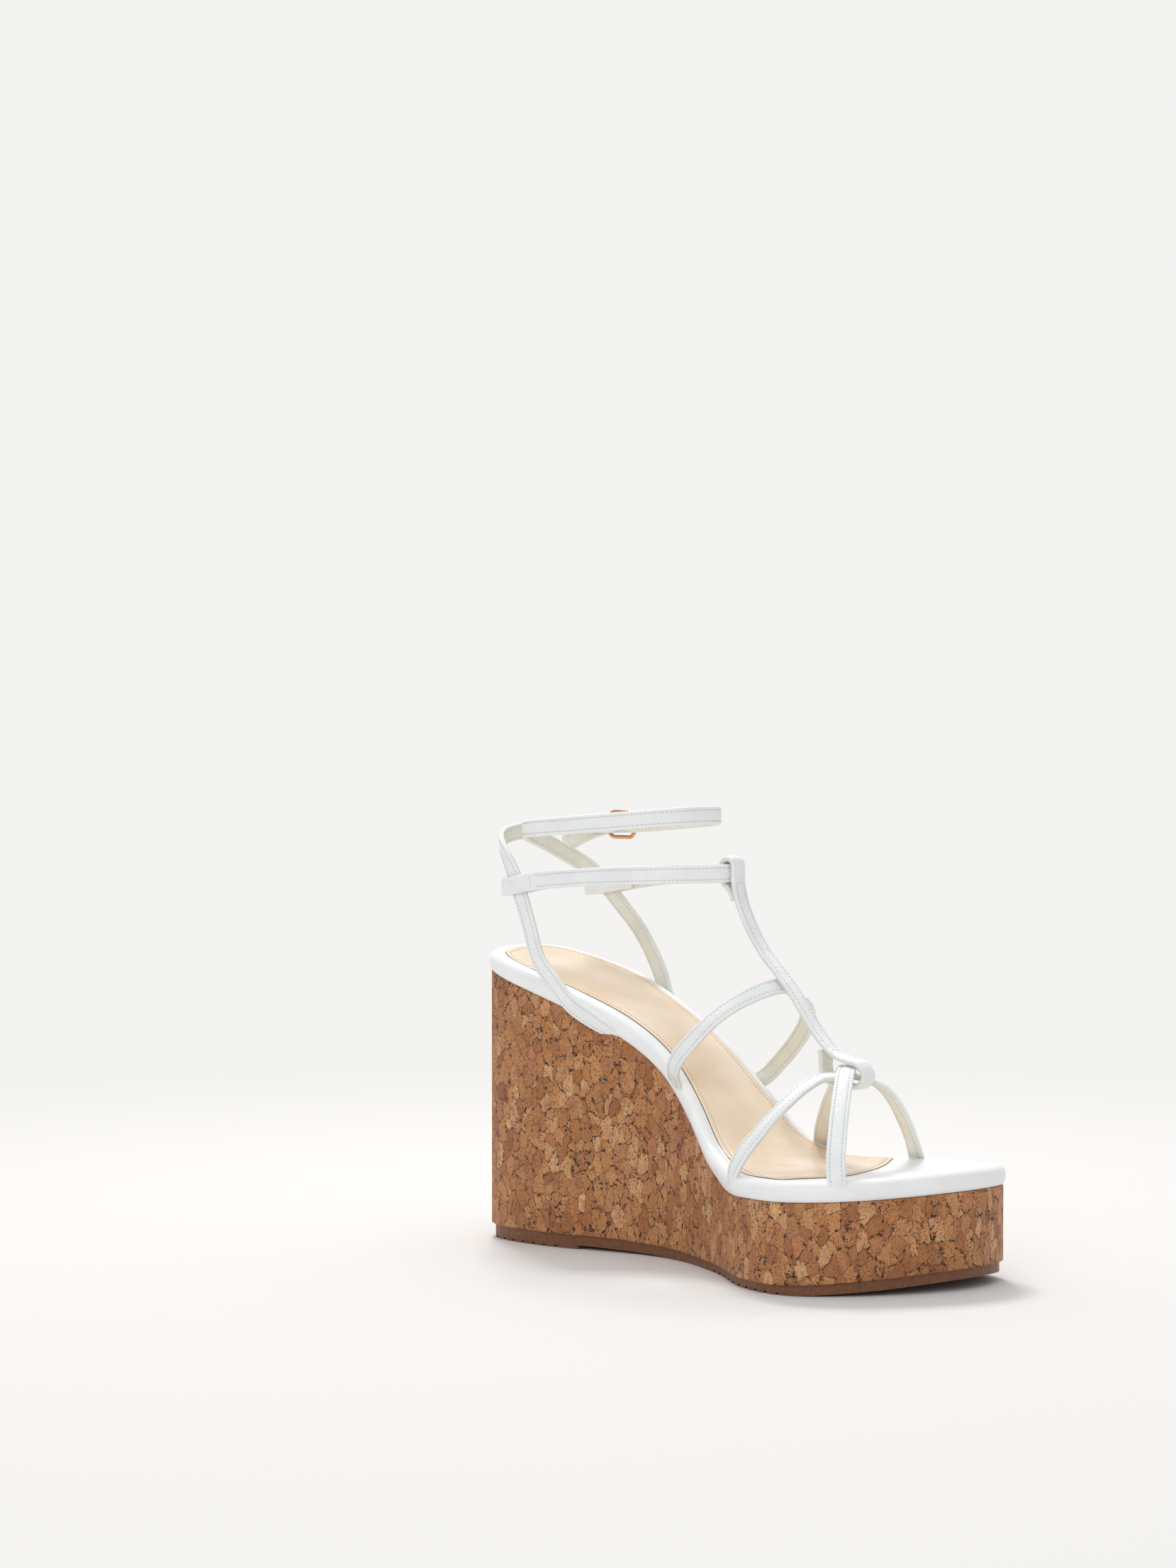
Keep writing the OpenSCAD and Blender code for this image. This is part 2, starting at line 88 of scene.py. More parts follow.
# Strap routes: (point, direction the outer face looks), in millimetres.
REAR_TOE_ROUTE = (
    ((-39.6, -46.4, 36.1), (0, 0, -1)), ((-41.4, -45.6, 36.1), (-0.3, 0.15, -1)),
    ((-42.6, -45, 36.9), (-0.9, 0.45, -0.8)), ((-43, -45.2, 39.2), (-0.9, 0.45, 0)),
    ((-43.4, -46.6, 44.6), (-1, 0.35, 0.1)), ((-42.2, -50.6, 52), (-1, 0.2, 0.3)),
    ((-39, -55, 58.6), (-1, 0.2, 0.5)), ((-35, -58, 64.4), (-0.9, 0.2, 0.8)),
    ((-29, -60, 69.6), (-0.6, 0.1, 1)), ((-21, -61.4, 74.8), (-0.4, 0, 1)),
    ((-12, -62.6, 78.1), (-0.2, 0, 1)), ((-7, -65.8, 79), (-0.1, -0.1, 1)),
    ((-2, -69.2, 79.1), (0, -0.1, 1)), ((3, -71.8, 77.8), (0.2, -0.2, 1)),
    ((12, -74, 73.8), (0.5, -0.2, 1)), ((22, -72.4, 66.6), (0.7, -0.2, 0.8)),
    ((31, -69.7, 58.6), (0.9, -0.1, 0.6)), ((39.4, -66.8, 49.6), (1, -0.1, 0.4)),
    ((45.2, -64.4, 42.4), (1, 0.1, 0.3)), ((46.9, -63.9, 39), (1, 0.2, 0)),
    ((46.4, -64, 37.2), (1, 0.2, -0.9)), ((44.9, -64.4, 36.5), (0.2, 0, -1)),
    ((43, -64.9, 36.5), (0, 0, -1)),
)
FRONT_TOE_ROUTE = (
    ((-35.1, -90.8, 37.3), (0, 0, -1)), ((-36.6, -92.5, 37.3), (-0.2, -0.2, -1)),
    ((-37.6, -93.5, 38.2), (-0.7, -0.7, -0.8)), ((-38, -93.7, 40.6), (-0.7, -0.7, 0)),
    ((-38, -92.9, 45), (-0.75, -0.6, 0.1)), ((-36, -91, 51), (-0.8, -0.5, 0.3)),
    ((-31.8, -88, 57.6), (-0.7, -0.5, 0.5)), ((-25, -83.4, 66.2), (-0.6, -0.4, 0.8)),
    ((-15.4, -77.2, 76), (-0.4, -0.2, 1)), ((-9, -73, 80.8), (-0.2, -0.1, 1)),
    ((-3, -69, 81.6), (0, 0, 1)), ((2.4, -64.2, 81.2), (0.2, 0.1, 1)), ((8, -56, 75), (0.6, 0.2, 0.9)),
    ((17, -43, 63.8), (0.8, 0.2, 0.7)), ((26.6, -31.4, 53.2), (0.9, 0.2, 0.5)),
    ((33.4, -24.6, 46.8), (1, 0.1, 0.4)), ((35.4, -22.4, 43.2), (1, 0.15, 0)),
    ((35, -22, 41.4), (0.8, 0.3, -0.7)), ((33.6, -22.2, 40.6), (0.2, 0.4, -0.9)),
    ((31.6, -22.4, 40.5), (0, 0.4, -0.9)),
)
INSTEP_ROUTE = (
    ((-9.8, 12, 69.9), (0, 0.67, -0.74)), ((-11.6, 12, 69.7), (-0.2, 0.6, -0.74)),
    ((-12.8, 11.8, 70.2), (-0.8, 0.5, -0.5)), ((-14.2, 10.8, 71.4), (-1, 0.1, 0)),
    ((-17, 9.2, 74), (-1, 0, 0)), ((-20.6, 6.4, 78), (-1, 0, 0.1)), ((-22, 2.4, 83), (-1, 0, 0.2)),
    ((-21.4, -3.4, 89), (-1, -0.1, 0.4)), ((-18.6, -12.6, 98.2), (-0.8, -0.2, 0.7)),
    ((-14.8, -19, 103.8), (-0.6, -0.4, 0.9)), ((-9.6, -24.6, 108), (-0.3, -0.7, 1)),
    ((-3.4, -28.6, 110.8), (-0.1, -0.9, 1)), ((3, -30.6, 111.4), (0, -0.9, 1)),
    ((9.6, -31, 109), (0.3, -0.8, 1)), ((16.6, -30.2, 105), (0.7, -0.4, 0.9)),
    ((22.6, -26.6, 99.2), (0.8, -0.2, 0.7)), ((27, -21, 93), (0.9, -0.1, 0.5)),
    ((31, -11.6, 85), (1, 0, 0.3)), ((34, -1.6, 77.4), (1, 0, 0.1)), ((34.6, 5.4, 71.8), (1, 0, 0)),
    ((33.4, 9.2, 69.4), (1, 0.3, -0.2)), ((32, 10.6, 68.8), (0.8, 0.5, -0.5)),
    ((30.6, 11, 69.2), (0.2, 0.6, -0.74)), ((28.8, 11.2, 69.4), (0, 0.67, -0.74)),
)
CENTRE_ROUTE = (
    ((4.8, -5.2, 144.8), (0, 1, -0.4)), ((4.9, -4.2, 147.2), (0, 1, -0.4)),
    ((5, -2.3, 149.4), (0, 1, -0.6)), ((5, 0.2, 151.6), (0, 1, -0.5)), ((5, 1.2, 154.4), (0, 1, 0)),
    ((5, 1.2, 158.3), (0, 1, 0)), ((5, 0.3, 160.4), (0, 0.7, 0.7)), ((5, -1.8, 161.2), (0, 0, 1)),
    ((5, -3.8, 160.4), (0, -0.7, 0.7)), ((5, -4.6, 158.2), (0, -1, 0)), ((5, -4.6, 154.6), (0, -1, 0)),
    ((4.9, -5.2, 150), (0, -1, 0.2)), ((4.6, -7.8, 142.6), (0, -1, 0.4)),
    ((4.2, -13.4, 133), (0, -1, 0.6)), ((3.6, -20.8, 124), (0, -1, 0.8)), ((3, -28.6, 117.2), (0, -1, 1)),
    ((2.2, -38, 108.4), (0, -1, 0.9)), ((1, -47.8, 97.6), (0, -1, 0.8)), ((0, -55.4, 90.8), (0, -0.9, 1)),
    ((-1, -62.4, 86.6), (0, -0.5, 1)), ((-1.8, -69, 84.9), (0, -0.3, 1)),
    ((-2, -74.8, 83.9), (0, -0.6, 1)), ((-2, -78.2, 80.1), (0, -1, 0)),
    ((-2, -76.3, 76.7), (0, -0.7, -0.7)), ((-2, -72, 75.4), (0, 0, -1)), ((-1.8, -64, 76), (0, 0.1, -1)),
    ((-1.4, -58.4, 78), (0, 0.7, -0.7)), ((-1, -56.5, 81.8), (0, 1, -0.4)),
    ((-0.7, -56.3, 85.2), (0, 1, -0.4)), ((-0.4, -55.4, 88.3), (0, 1, -1)),
)
ANKLE_ROUTE = (
    ((35, 82, 149), (-1, 0, 0)), ((33.7, 88.6, 147.8), (-1, 0, 0)), ((33.2, 96, 146.6), (-1, 0, 0)),
    ((32.8, 103, 145.6), (-1, 0, 0)), ((33.6, 106.2, 145.2), (-0.7, 0.7, 0)),
    ((35.7, 107.4, 145), (0, 1, 0)), ((37.4, 106, 145.2), (0.7, 0.7, 0)), ((38, 103, 145.6), (1, 0, 0)),
    ((38.3, 96, 146.4), (1, 0, 0)), ((38, 88, 147.6), (1, 0, 0)), ((37, 80, 149), (1, 0, 0)),
    ((35.6, 65, 151), (1, 0, 0)), ((33, 45, 152.8), (0.95, -0.3, 0)), ((28, 25, 154.3), (0.8, -0.6, 0)),
    ((18, 7, 155.3), (0.5, -0.87, 0)), ((5, -2, 155.6), (0, -1, 0)), ((-9, 4, 155.4), (-0.5, -0.87, 0)),
    ((-20, 16, 155.1), (-0.8, -0.6, 0)), ((-26, 36, 154.2), (-1, -0.25, 0)),
    ((-27.8, 58, 152.6), (-1, 0, 0)), ((-28.2, 73, 151.2), (-1, 0, 0)), ((-29, 80, 150.2), (-1, 0, 0)),
    ((-29.2, 90, 148.4), (-1, 0, 0)), ((-28.4, 94, 147.8), (-0.7, 0.7, 0)),
    ((-26.5, 95.6, 147.6), (0, 1, 0)), ((-24.6, 94, 147.8), (0.7, 0.7, 0)),
    ((-23.8, 90, 148.4), (1, 0, 0)), ((-24, 82, 149.8), (1, 0, 0)), ((-26.1, 74.6, 151), (1, 0, 0)),
)
HOLE_ROUTE = (
    ((29.6, 30, 77.4), (1, 0, 0)), ((31.2, 36, 82.6), (1, 0, 0)), ((33, 45, 87.4), (1, 0, 0)),
    ((34.8, 54, 91.4), (1, 0, 0)), ((36, 60, 95.6), (1, 0, 0)), ((36.8, 64, 101.8), (1, 0, 0)),
    ((36.9, 68, 111.4), (1, 0.1, 0)), ((36.6, 73.6, 121), (1, 0, 0)), ((36.1, 80, 129.6), (1, 0, 0)),
    ((35.7, 88, 137.2), (1, 0, 0)), ((35.6, 94, 142.6), (1, 0, 0)), ((35.5, 98.6, 147), (1, 0, 0)),
    ((34.9, 101.8, 150.2), (1, 0, 0)), ((32.2, 105, 153.8), (0.9, 0.5, 0)),
    ((28, 107, 156.8), (0.6, 0.9, 0)), ((22, 108, 159.8), (0.4, 1, 0)), ((13, 107.6, 163.6), (0.1, 1, 0)),
    ((2, 105.2, 167.1), (-0.2, 1, 0)), ((-8, 100.8, 169.5), (-0.5, 0.9, 0)),
    ((-17, 93.4, 171.2), (-0.7, 0.7, 0)), ((-23, 83.6, 172.2), (-0.9, 0.4, 0)),
    ((-25.8, 72, 173.1), (-1, 0.1, 0)), ((-26, 58, 174.2), (-1, 0, 0)),
    ((-24.2, 42, 175.6), (-1, -0.2, 0)), ((-18.5, 27, 177), (-0.8, -0.6, 0)),
    ((-8, 17.4, 178), (-0.4, -0.9, 0)), ((5, 14.4, 178.4), (0, -1, 0)),
    ((17, 17.2, 178), (0.5, -0.87, 0)), ((26.6, 27, 177), (0.8, -0.5, 0)),
    ((33, 41, 175.8), (0.95, -0.3, 0)), ((35.2, 55, 174.6), (1, 0, 0)), ((34.5, 66, 173.6), (1, 0.2, 0)),
    ((32.6, 74, 173), (1, 0.3, 0)), ((31.7, 78.4, 172.7), (1, 0.2, 0)),
    ((32.1, 81.1, 172.6), (1, -0.2, 0)), ((34.1, 84.3, 172.5), (1, -0.5, 0)),
    ((35.3, 87, 172.3), (1, -0.2, 0)), ((35.4, 89.8, 172.2), (1, 0.1, 0)), ((34.8, 93, 172), (1, 0.3, 0)),
    ((33.9, 96, 171.4), (1, 0.4, 0)),
)
TAIL_ROUTE = (
    ((33.8, 96.4, 171.3), (1, 0.4, 0)), ((31.6, 101.4, 169.6), (1, 0.5, 0)),
    ((28.6, 106.8, 166.8), (1, 0.6, 0)), ((25.2, 111.8, 163.6), (1, 0.7, 0)),
)
BUCKLE_ROUTE = (
    ((-9.2, 33.4, 80.8), (0, 0, -1)), ((-12.3, 38.6, 85.4), (-0.5, 0, -0.85)),
    ((-15.3, 45.6, 90.2), (-0.9, 0, -0.45)), ((-17, 50.2, 92.9), (-0.97, 0, -0.22)),
    ((-18.3, 54.4, 95.2), (-1, 0, -0.05)), ((-19.6, 58.4, 97.5), (-1, 0, 0)),
    ((-20.6, 62.6, 100.2), (-1, 0, 0)), ((-21.4, 66.9, 104.1), (-1, 0, 0)),
    ((-22, 71.6, 109.3), (-1, 0, 0)), ((-22.8, 77.2, 115.2), (-1, 0, 0)),
    ((-23.9, 80.2, 121.4), (-1, 0, 0)), ((-25.4, 82, 130.4), (-1, 0, 0)),
    ((-26.2, 85, 140.4), (-1, 0, 0)), ((-26.5, 88.4, 148.4), (-1, 0, 0)),
    ((-26.6, 91, 154.4), (-1, 0.1, 0)), ((-26.2, 95, 160.4), (-1, 0.5, 0)),
    ((-23.2, 100.6, 165), (-0.7, 0.8, 0)), ((-16, 106.4, 168), (-0.3, 1, 0)),
    ((-6, 110, 169.4), (-0.1, 1, 0)), ((5, 111, 170.4), (0.1, 1, 0)), ((15, 108.6, 171.2), (0.4, 0.9, 0)),
    ((23.6, 103.4, 171.8), (0.7, 0.8, 0)), ((29.2, 97.6, 172.2), (0.9, 0.5, 0)),
    ((31.8, 94.4, 172.3), (1, 0.25, 0)), ((32.75, 91.4, 172.3), (1, 0.25, 0)),
    ((32.5, 89.7, 172.3), (0.8, -0.6, 0)), ((31.4, 89.1, 172.3), (0.2, -1, 0)),
    ((30, 89.2, 172.3), (-0.7, -0.7, 0)), ((29.3, 90.6, 172.3), (-1, -0.25, 0)),
    ((28.9, 93.4, 172.3), (-1, -0.3, 0)), ((28.1, 96, 172.3), (-1, -0.4, 0)),
)


class Kind(Enum):
    """The two layers of a strap."""

    OUTER = "outer"
    LINING = "lining"


class Opening(Enum):
    """What is cut through a strap."""

    NONE = "none"
    PRONG_HOLES = "prong holes"
    BAR_SLOT = "bar slot"


class Slot(Enum):
    """The material slots of the record."""

    CORK = "cork"
    UPPER = "upper"
    LINING = "strap_lining"
    SOCK = "sock"
    METAL = "buckle_metal"


# ---- number helpers ---------------------------------------------------------------------------------------

def spline(points: np.ndarray, per_span: int, closed: bool = False) -> np.ndarray:
    """Catmull-Rom curve through the points.

    Each span is the cubic 0.5*(2b + (c-a)t + (2a-5b+4c-d)t^2 + (3b-a-3c+d)t^3) of its four neighbours.

    Args:
        points: (n, k) control points.
        per_span: Samples between two control points.
        closed: Whether the curve runs round to its start.

    Returns:
        (m, k) points on the curve, with the last control point added when it is open.
    """
    p = np.asarray(points, dtype=float)
    t = (np.arange(per_span) / per_span)[None, :, None]
    if closed:
        a, b, c, d = (np.roll(p, s, axis=0)[:, None, :] for s in (1, 0, -1, -2))
    else:
        ends = np.vstack([p[:1], p, p[-1:]])
        a, b, c, d = (ends[i:len(ends) - 3 + i][:, None, :] for i in range(4))
    curve = 0.5 * (2 * b + (c - a) * t + (2 * a - 5 * b + 4 * c - d) * t**2 + (3 * b - a - 3 * c + d) * t**3)
    curve = curve.reshape(-1, p.shape[1])
    return curve if closed else np.vstack([curve, p[-1:]])


def unit(v: np.ndarray) -> np.ndarray:
    """Vectors scaled to length one along the last axis."""
    return v / np.maximum(np.linalg.norm(v, axis=-1, keepdims=True), 1e-12)


def smoothstep(low: float, high: float, x: np.ndarray) -> np.ndarray:
    """0 below low, 1 above high and 3t^2 - 2t^3 between."""
    t = np.clip((x - low) / (high - low), 0.0, 1.0)
    return t * t * (3 - 2 * t)


def even_loop(loop: np.ndarray, count: int) -> np.ndarray:
    """Points at equal steps of length round a closed plan loop, starting from its highest y.

    Args:
        loop: (n, 2) closed plan loop.
        count: How many points to give back.

    Returns:
        (count, 2) points.
    """
    ring = np.roll(loop, -int(np.argmax(loop[:, 1])), axis=0)
    ring = np.vstack([ring, ring[:1]])
    s = length_along(ring)
    return columns_at(np.linspace(0, s[-1], count, endpoint=False), s, ring)


def middle_line(loop: np.ndarray, clear: int) -> np.ndarray:
    """The point half way between each point of an evenly stepped loop and its partner across.

    Partners are the same number of steps from the loop's start, one each way round. Points within `clear`
    steps of either end all take the same place, so a surface drawn in to this line closes exactly.

    Args:
        loop: (n, 2) evenly stepped plan loop.
        clear: Steps left out at each end of the line.

    Returns:
        (n, 2) points on the middle line.
    """
    n = len(loop)
    m = np.arange(n)
    m = np.clip(np.minimum(m, n - m), clear, n // 2 - clear)
    return (loop[m] + loop[(n - m) % n]) / 2


def inward_of(loop: np.ndarray) -> np.ndarray:
    """Unit directions square to a closed plan loop that point to its inside.

    The direction along the loop is turned a quarter, and the sign of the enclosed area says which way is in.

    Args:
        loop: (n, 2) closed plan loop.

    Returns:
        (n, 2) unit directions.
    """
    along = unit(np.roll(loop, -1, axis=0) - np.roll(loop, 1, axis=0))
    inward = np.stack([along[:, 1], -along[:, 0]], -1)
    area = np.sum(loop[:, 0] * np.roll(loop[:, 1], -1) - np.roll(loop[:, 0], -1) * loop[:, 1])
    return inward if area < 0 else -inward


def turned(points: np.ndarray, degrees: float) -> np.ndarray:
    """Points turned about the vertical: x' = x cos a - y sin a and y' = x sin a + y cos a.

    Args:
        points: (..., 3) points.
        degrees: Angle a, anticlockwise from above.

    Returns:
        Points of the same shape.
    """
    c, k = math.cos(math.radians(degrees)), math.sin(math.radians(degrees))
    x, y = points[..., 0], points[..., 1]
    return np.stack([x * c - y * k, x * k + y * c, points[..., 2]], -1)


def length_along(path: np.ndarray) -> np.ndarray:
    """Length from the start of a path to each of its points."""
    return np.concatenate([[0], np.cumsum(np.linalg.norm(np.diff(path, axis=0), axis=1))])


def columns_at(places: np.ndarray, s: np.ndarray, values: np.ndarray) -> np.ndarray:
    """Each column of values, known at lengths s, read at other lengths."""
    return np.column_stack([np.interp(places, s, column) for column in values.T])


def edge_distance(points: np.ndarray, loop: np.ndarray) -> np.ndarray:
    """Signed distance from plan points to a closed loop, positive inside.

    The distance is the least over all edges of the loop, and how many edges a ray crosses gives the sign.

    Args:
        points: (n, 2) plan points.
        loop: (m, 2) closed loop.

    Returns:
        (n,) signed distances.
    """
    a, b = loop, np.roll(loop, -1, axis=0)
    ab, ap = b - a, points[:, None, :] - a[None]
    t = np.clip((ap * ab).sum(-1) / np.maximum((ab * ab).sum(-1), 1e-12), 0, 1)
    away = np.linalg.norm(ap - t[..., None] * ab, axis=-1).min(axis=1)
    rises = (a[None, :, 1] > points[:, 1:2]) != (b[None, :, 1] > points[:, 1:2])
    slope = np.where(np.abs(ab[:, 1]) < 1e-9, 1e-9, ab[:, 1])
    crosses = points[:, 0:1] < ab[None, :, 0] * (points[:, 1:2] - a[None, :, 1]) / slope + a[None, :, 0]
    inside = (rises & crosses).sum(axis=1) % 2 == 1
    return np.where(inside, away, -away)


# ---- mesh helpers -----------------------------------------------------------------------------------------

def grid_faces(rows: int, columns: int, wrap: bool) -> np.ndarray:
    """Quads over a grid of vertices that is numbered row by row.

    Args:
        rows: Rows of vertices.
        columns: Vertices in a row.
        wrap: Whether the last column joins the first.

    Returns:
        (n, 4) vertex numbers.
    """
    i = np.arange(rows - 1)[:, None]
    j = np.arange(columns if wrap else columns - 1)[None, :]
    k = (j + 1) % columns
    corners = [i * columns + j, i * columns + k, (i + 1) * columns + k, (i + 1) * columns + j]
    return np.stack(corners, -1).reshape(-1, 4)


def end_caps(rows: int, columns: int) -> np.ndarray:
    """One face over the first row of a closed tube and one over its last."""
    ring = np.arange(columns)
    return np.stack([ring[::-1], (rows - 1) * columns + ring])


def make_piece(name: str, points: np.ndarray, faces: list[np.ndarray],
               marks: dict[str, np.ndarray] | None = None) -> bpy.types.Object:
    """Makes a smooth-shaded mesh object at the origin.

    Args:
        name: Name of the piece.
        points: (n, 3) vertices in millimetres.
        faces: Arrays of vertex numbers, one row for each face; faces of one array have as many corners.
        marks: Attribute names to one number for each vertex, when a pattern needs them.

    Returns:
        The new object, in the scene.
    """
    sides = np.concatenate([np.full(len(group), group.shape[1]) for group in faces])
    corners = np.concatenate([group.ravel() for group in faces])
    mesh = bpy.data.meshes.new(name)
    mesh.vertices.add(len(points))
    mesh.vertices.foreach_set("co", (np.asarray(points) * MM).ravel().astype(np.float32))
    mesh.loops.add(len(corners))
    mesh.loops.foreach_set("vertex_index", corners.astype(np.int32))
    mesh.polygons.add(len(sides))
    mesh.polygons.foreach_set("loop_start", (np.cumsum(sides) - sides).astype(np.int32))
    mesh.update(calc_edges=True)
    mesh.validate()
    mesh.shade_smooth()
    for mark, values in (marks or {}).items():
        place = mesh.attributes.new(mark, "FLOAT", "POINT")
        place.data.foreach_set("value", np.asarray(values, dtype=np.float32))
    piece = bpy.data.objects.new(name, mesh)
    bpy.context.scene.collection.objects.link(piece)
    return piece


def face_outwards(piece: bpy.types.Object) -> None:
    """Turns every face of a closed mesh outwards.

    Args:
        piece: Closed mesh object.
    """
    shape = bmesh.new()
    shape.from_mesh(piece.data)
    bmesh.ops.recalc_face_normals(shape, faces=shape.faces)
    shape.to_mesh(piece.data)
    shape.free()


def close_up(piece: bpy.types.Object) -> None:
    """Merges points that meet, drops faces of no area and turns every face outwards.

    Args:
        piece: Mesh object whose rows meet on a shared line.
    """
    shape = bmesh.new()
    shape.from_mesh(piece.data)
    bmesh.ops.remove_doubles(shape, verts=shape.verts, dist=MERGE_MM * MM)
    bmesh.ops.dissolve_degenerate(shape, edges=shape.edges, dist=MERGE_MM * MM / 4)
    shape.to_mesh(piece.data)
    shape.free()
    face_outwards(piece)
    piece.data.shade_smooth()


def cut_away(piece: bpy.types.Object, cutters: list[bpy.types.Object]) -> None:
    """Cuts each cutter out of the piece for good and deletes the cutter.

    Args:
        piece: Mesh object to cut.
        cutters: Closed mesh objects.
    """
    for cutter in cutters:
        change = piece.modifiers.new("cut", "BOOLEAN")
        change.operation = "DIFFERENCE"
        change.solver = "EXACT"
        change.object = cutter
        bpy.context.view_layer.update()
        done = bpy.data.meshes.new_from_object(piece.evaluated_get(bpy.context.evaluated_depsgraph_get()))
        piece.modifiers.remove(change)
        piece.data = done
        bpy.data.objects.remove(cutter)


# ---- finishes ---------------------------------------------------------------------------------------------

# A pattern's Scale is how many of its cells go in a metre, so a size in millimetres is 1000 over it. Where no
# field gives that size, the comment above the node does.

def linear(hex_colour: str) -> tuple[float, float, float, float]:
    """An sRGB hex colour as linear red, green, blue and alpha."""
    parts = [int(hex_colour[i:i + 2], 16) / 255 for i in (1, 3, 5)]
    return (*[c / 12.92 if c <= 0.04045 else ((c + 0.055) / 1.055) ** 2.4 for c in parts], 1.0)


def add(tree: bpy.types.NodeTree, kind: str, settings: dict | None = None,
        links: dict | None = None) -> bpy.types.Node:
    """Adds one shader node.

    Args:
        tree: Node tree to add to.
        kind: Type name of the node.
        settings: Attribute names, or input numbers and names, to values; "stops" gives the (place, hex
            colour) stops of a node that has a colour ramp.
        links: Input numbers or names to (node, output) pairs.

    Returns:
        The new node.
    """
    node = tree.nodes.new(kind)
    for key, value in (settings or {}).items():
        if key == "stops":
            for place, _ in value[2:]:
                node.color_ramp.elements.new(place)
            for element, (place, colour) in zip(node.color_ramp.elements, value):
                element.position, element.color = place, linear(colour)
        elif isinstance(key, str) and hasattr(node, key):
            setattr(node, key, value)
        else:
            node.inputs[key].default_value = value
    for key, (source, output) in (links or {}).items():
        tree.links.new(source.outputs[output], node.inputs[key])
    return node


def start_material(name: str, roughness: float) -> tuple:
    """Starts a material.

    Args:
        name: Name of the material.
        roughness: Roughness set on the shader.

    Returns:
        The material, its tree, its shader node and a coordinates node.
    """
    material = bpy.data.materials.new(name)
    material.use_nodes = True
    tree = material.node_tree
    shader = tree.nodes["Principled BSDF"]
    shader.inputs["Roughness"].default_value = roughness
    place = add(tree, "ShaderNodeTexCoord")
    return material, tree, shader, place


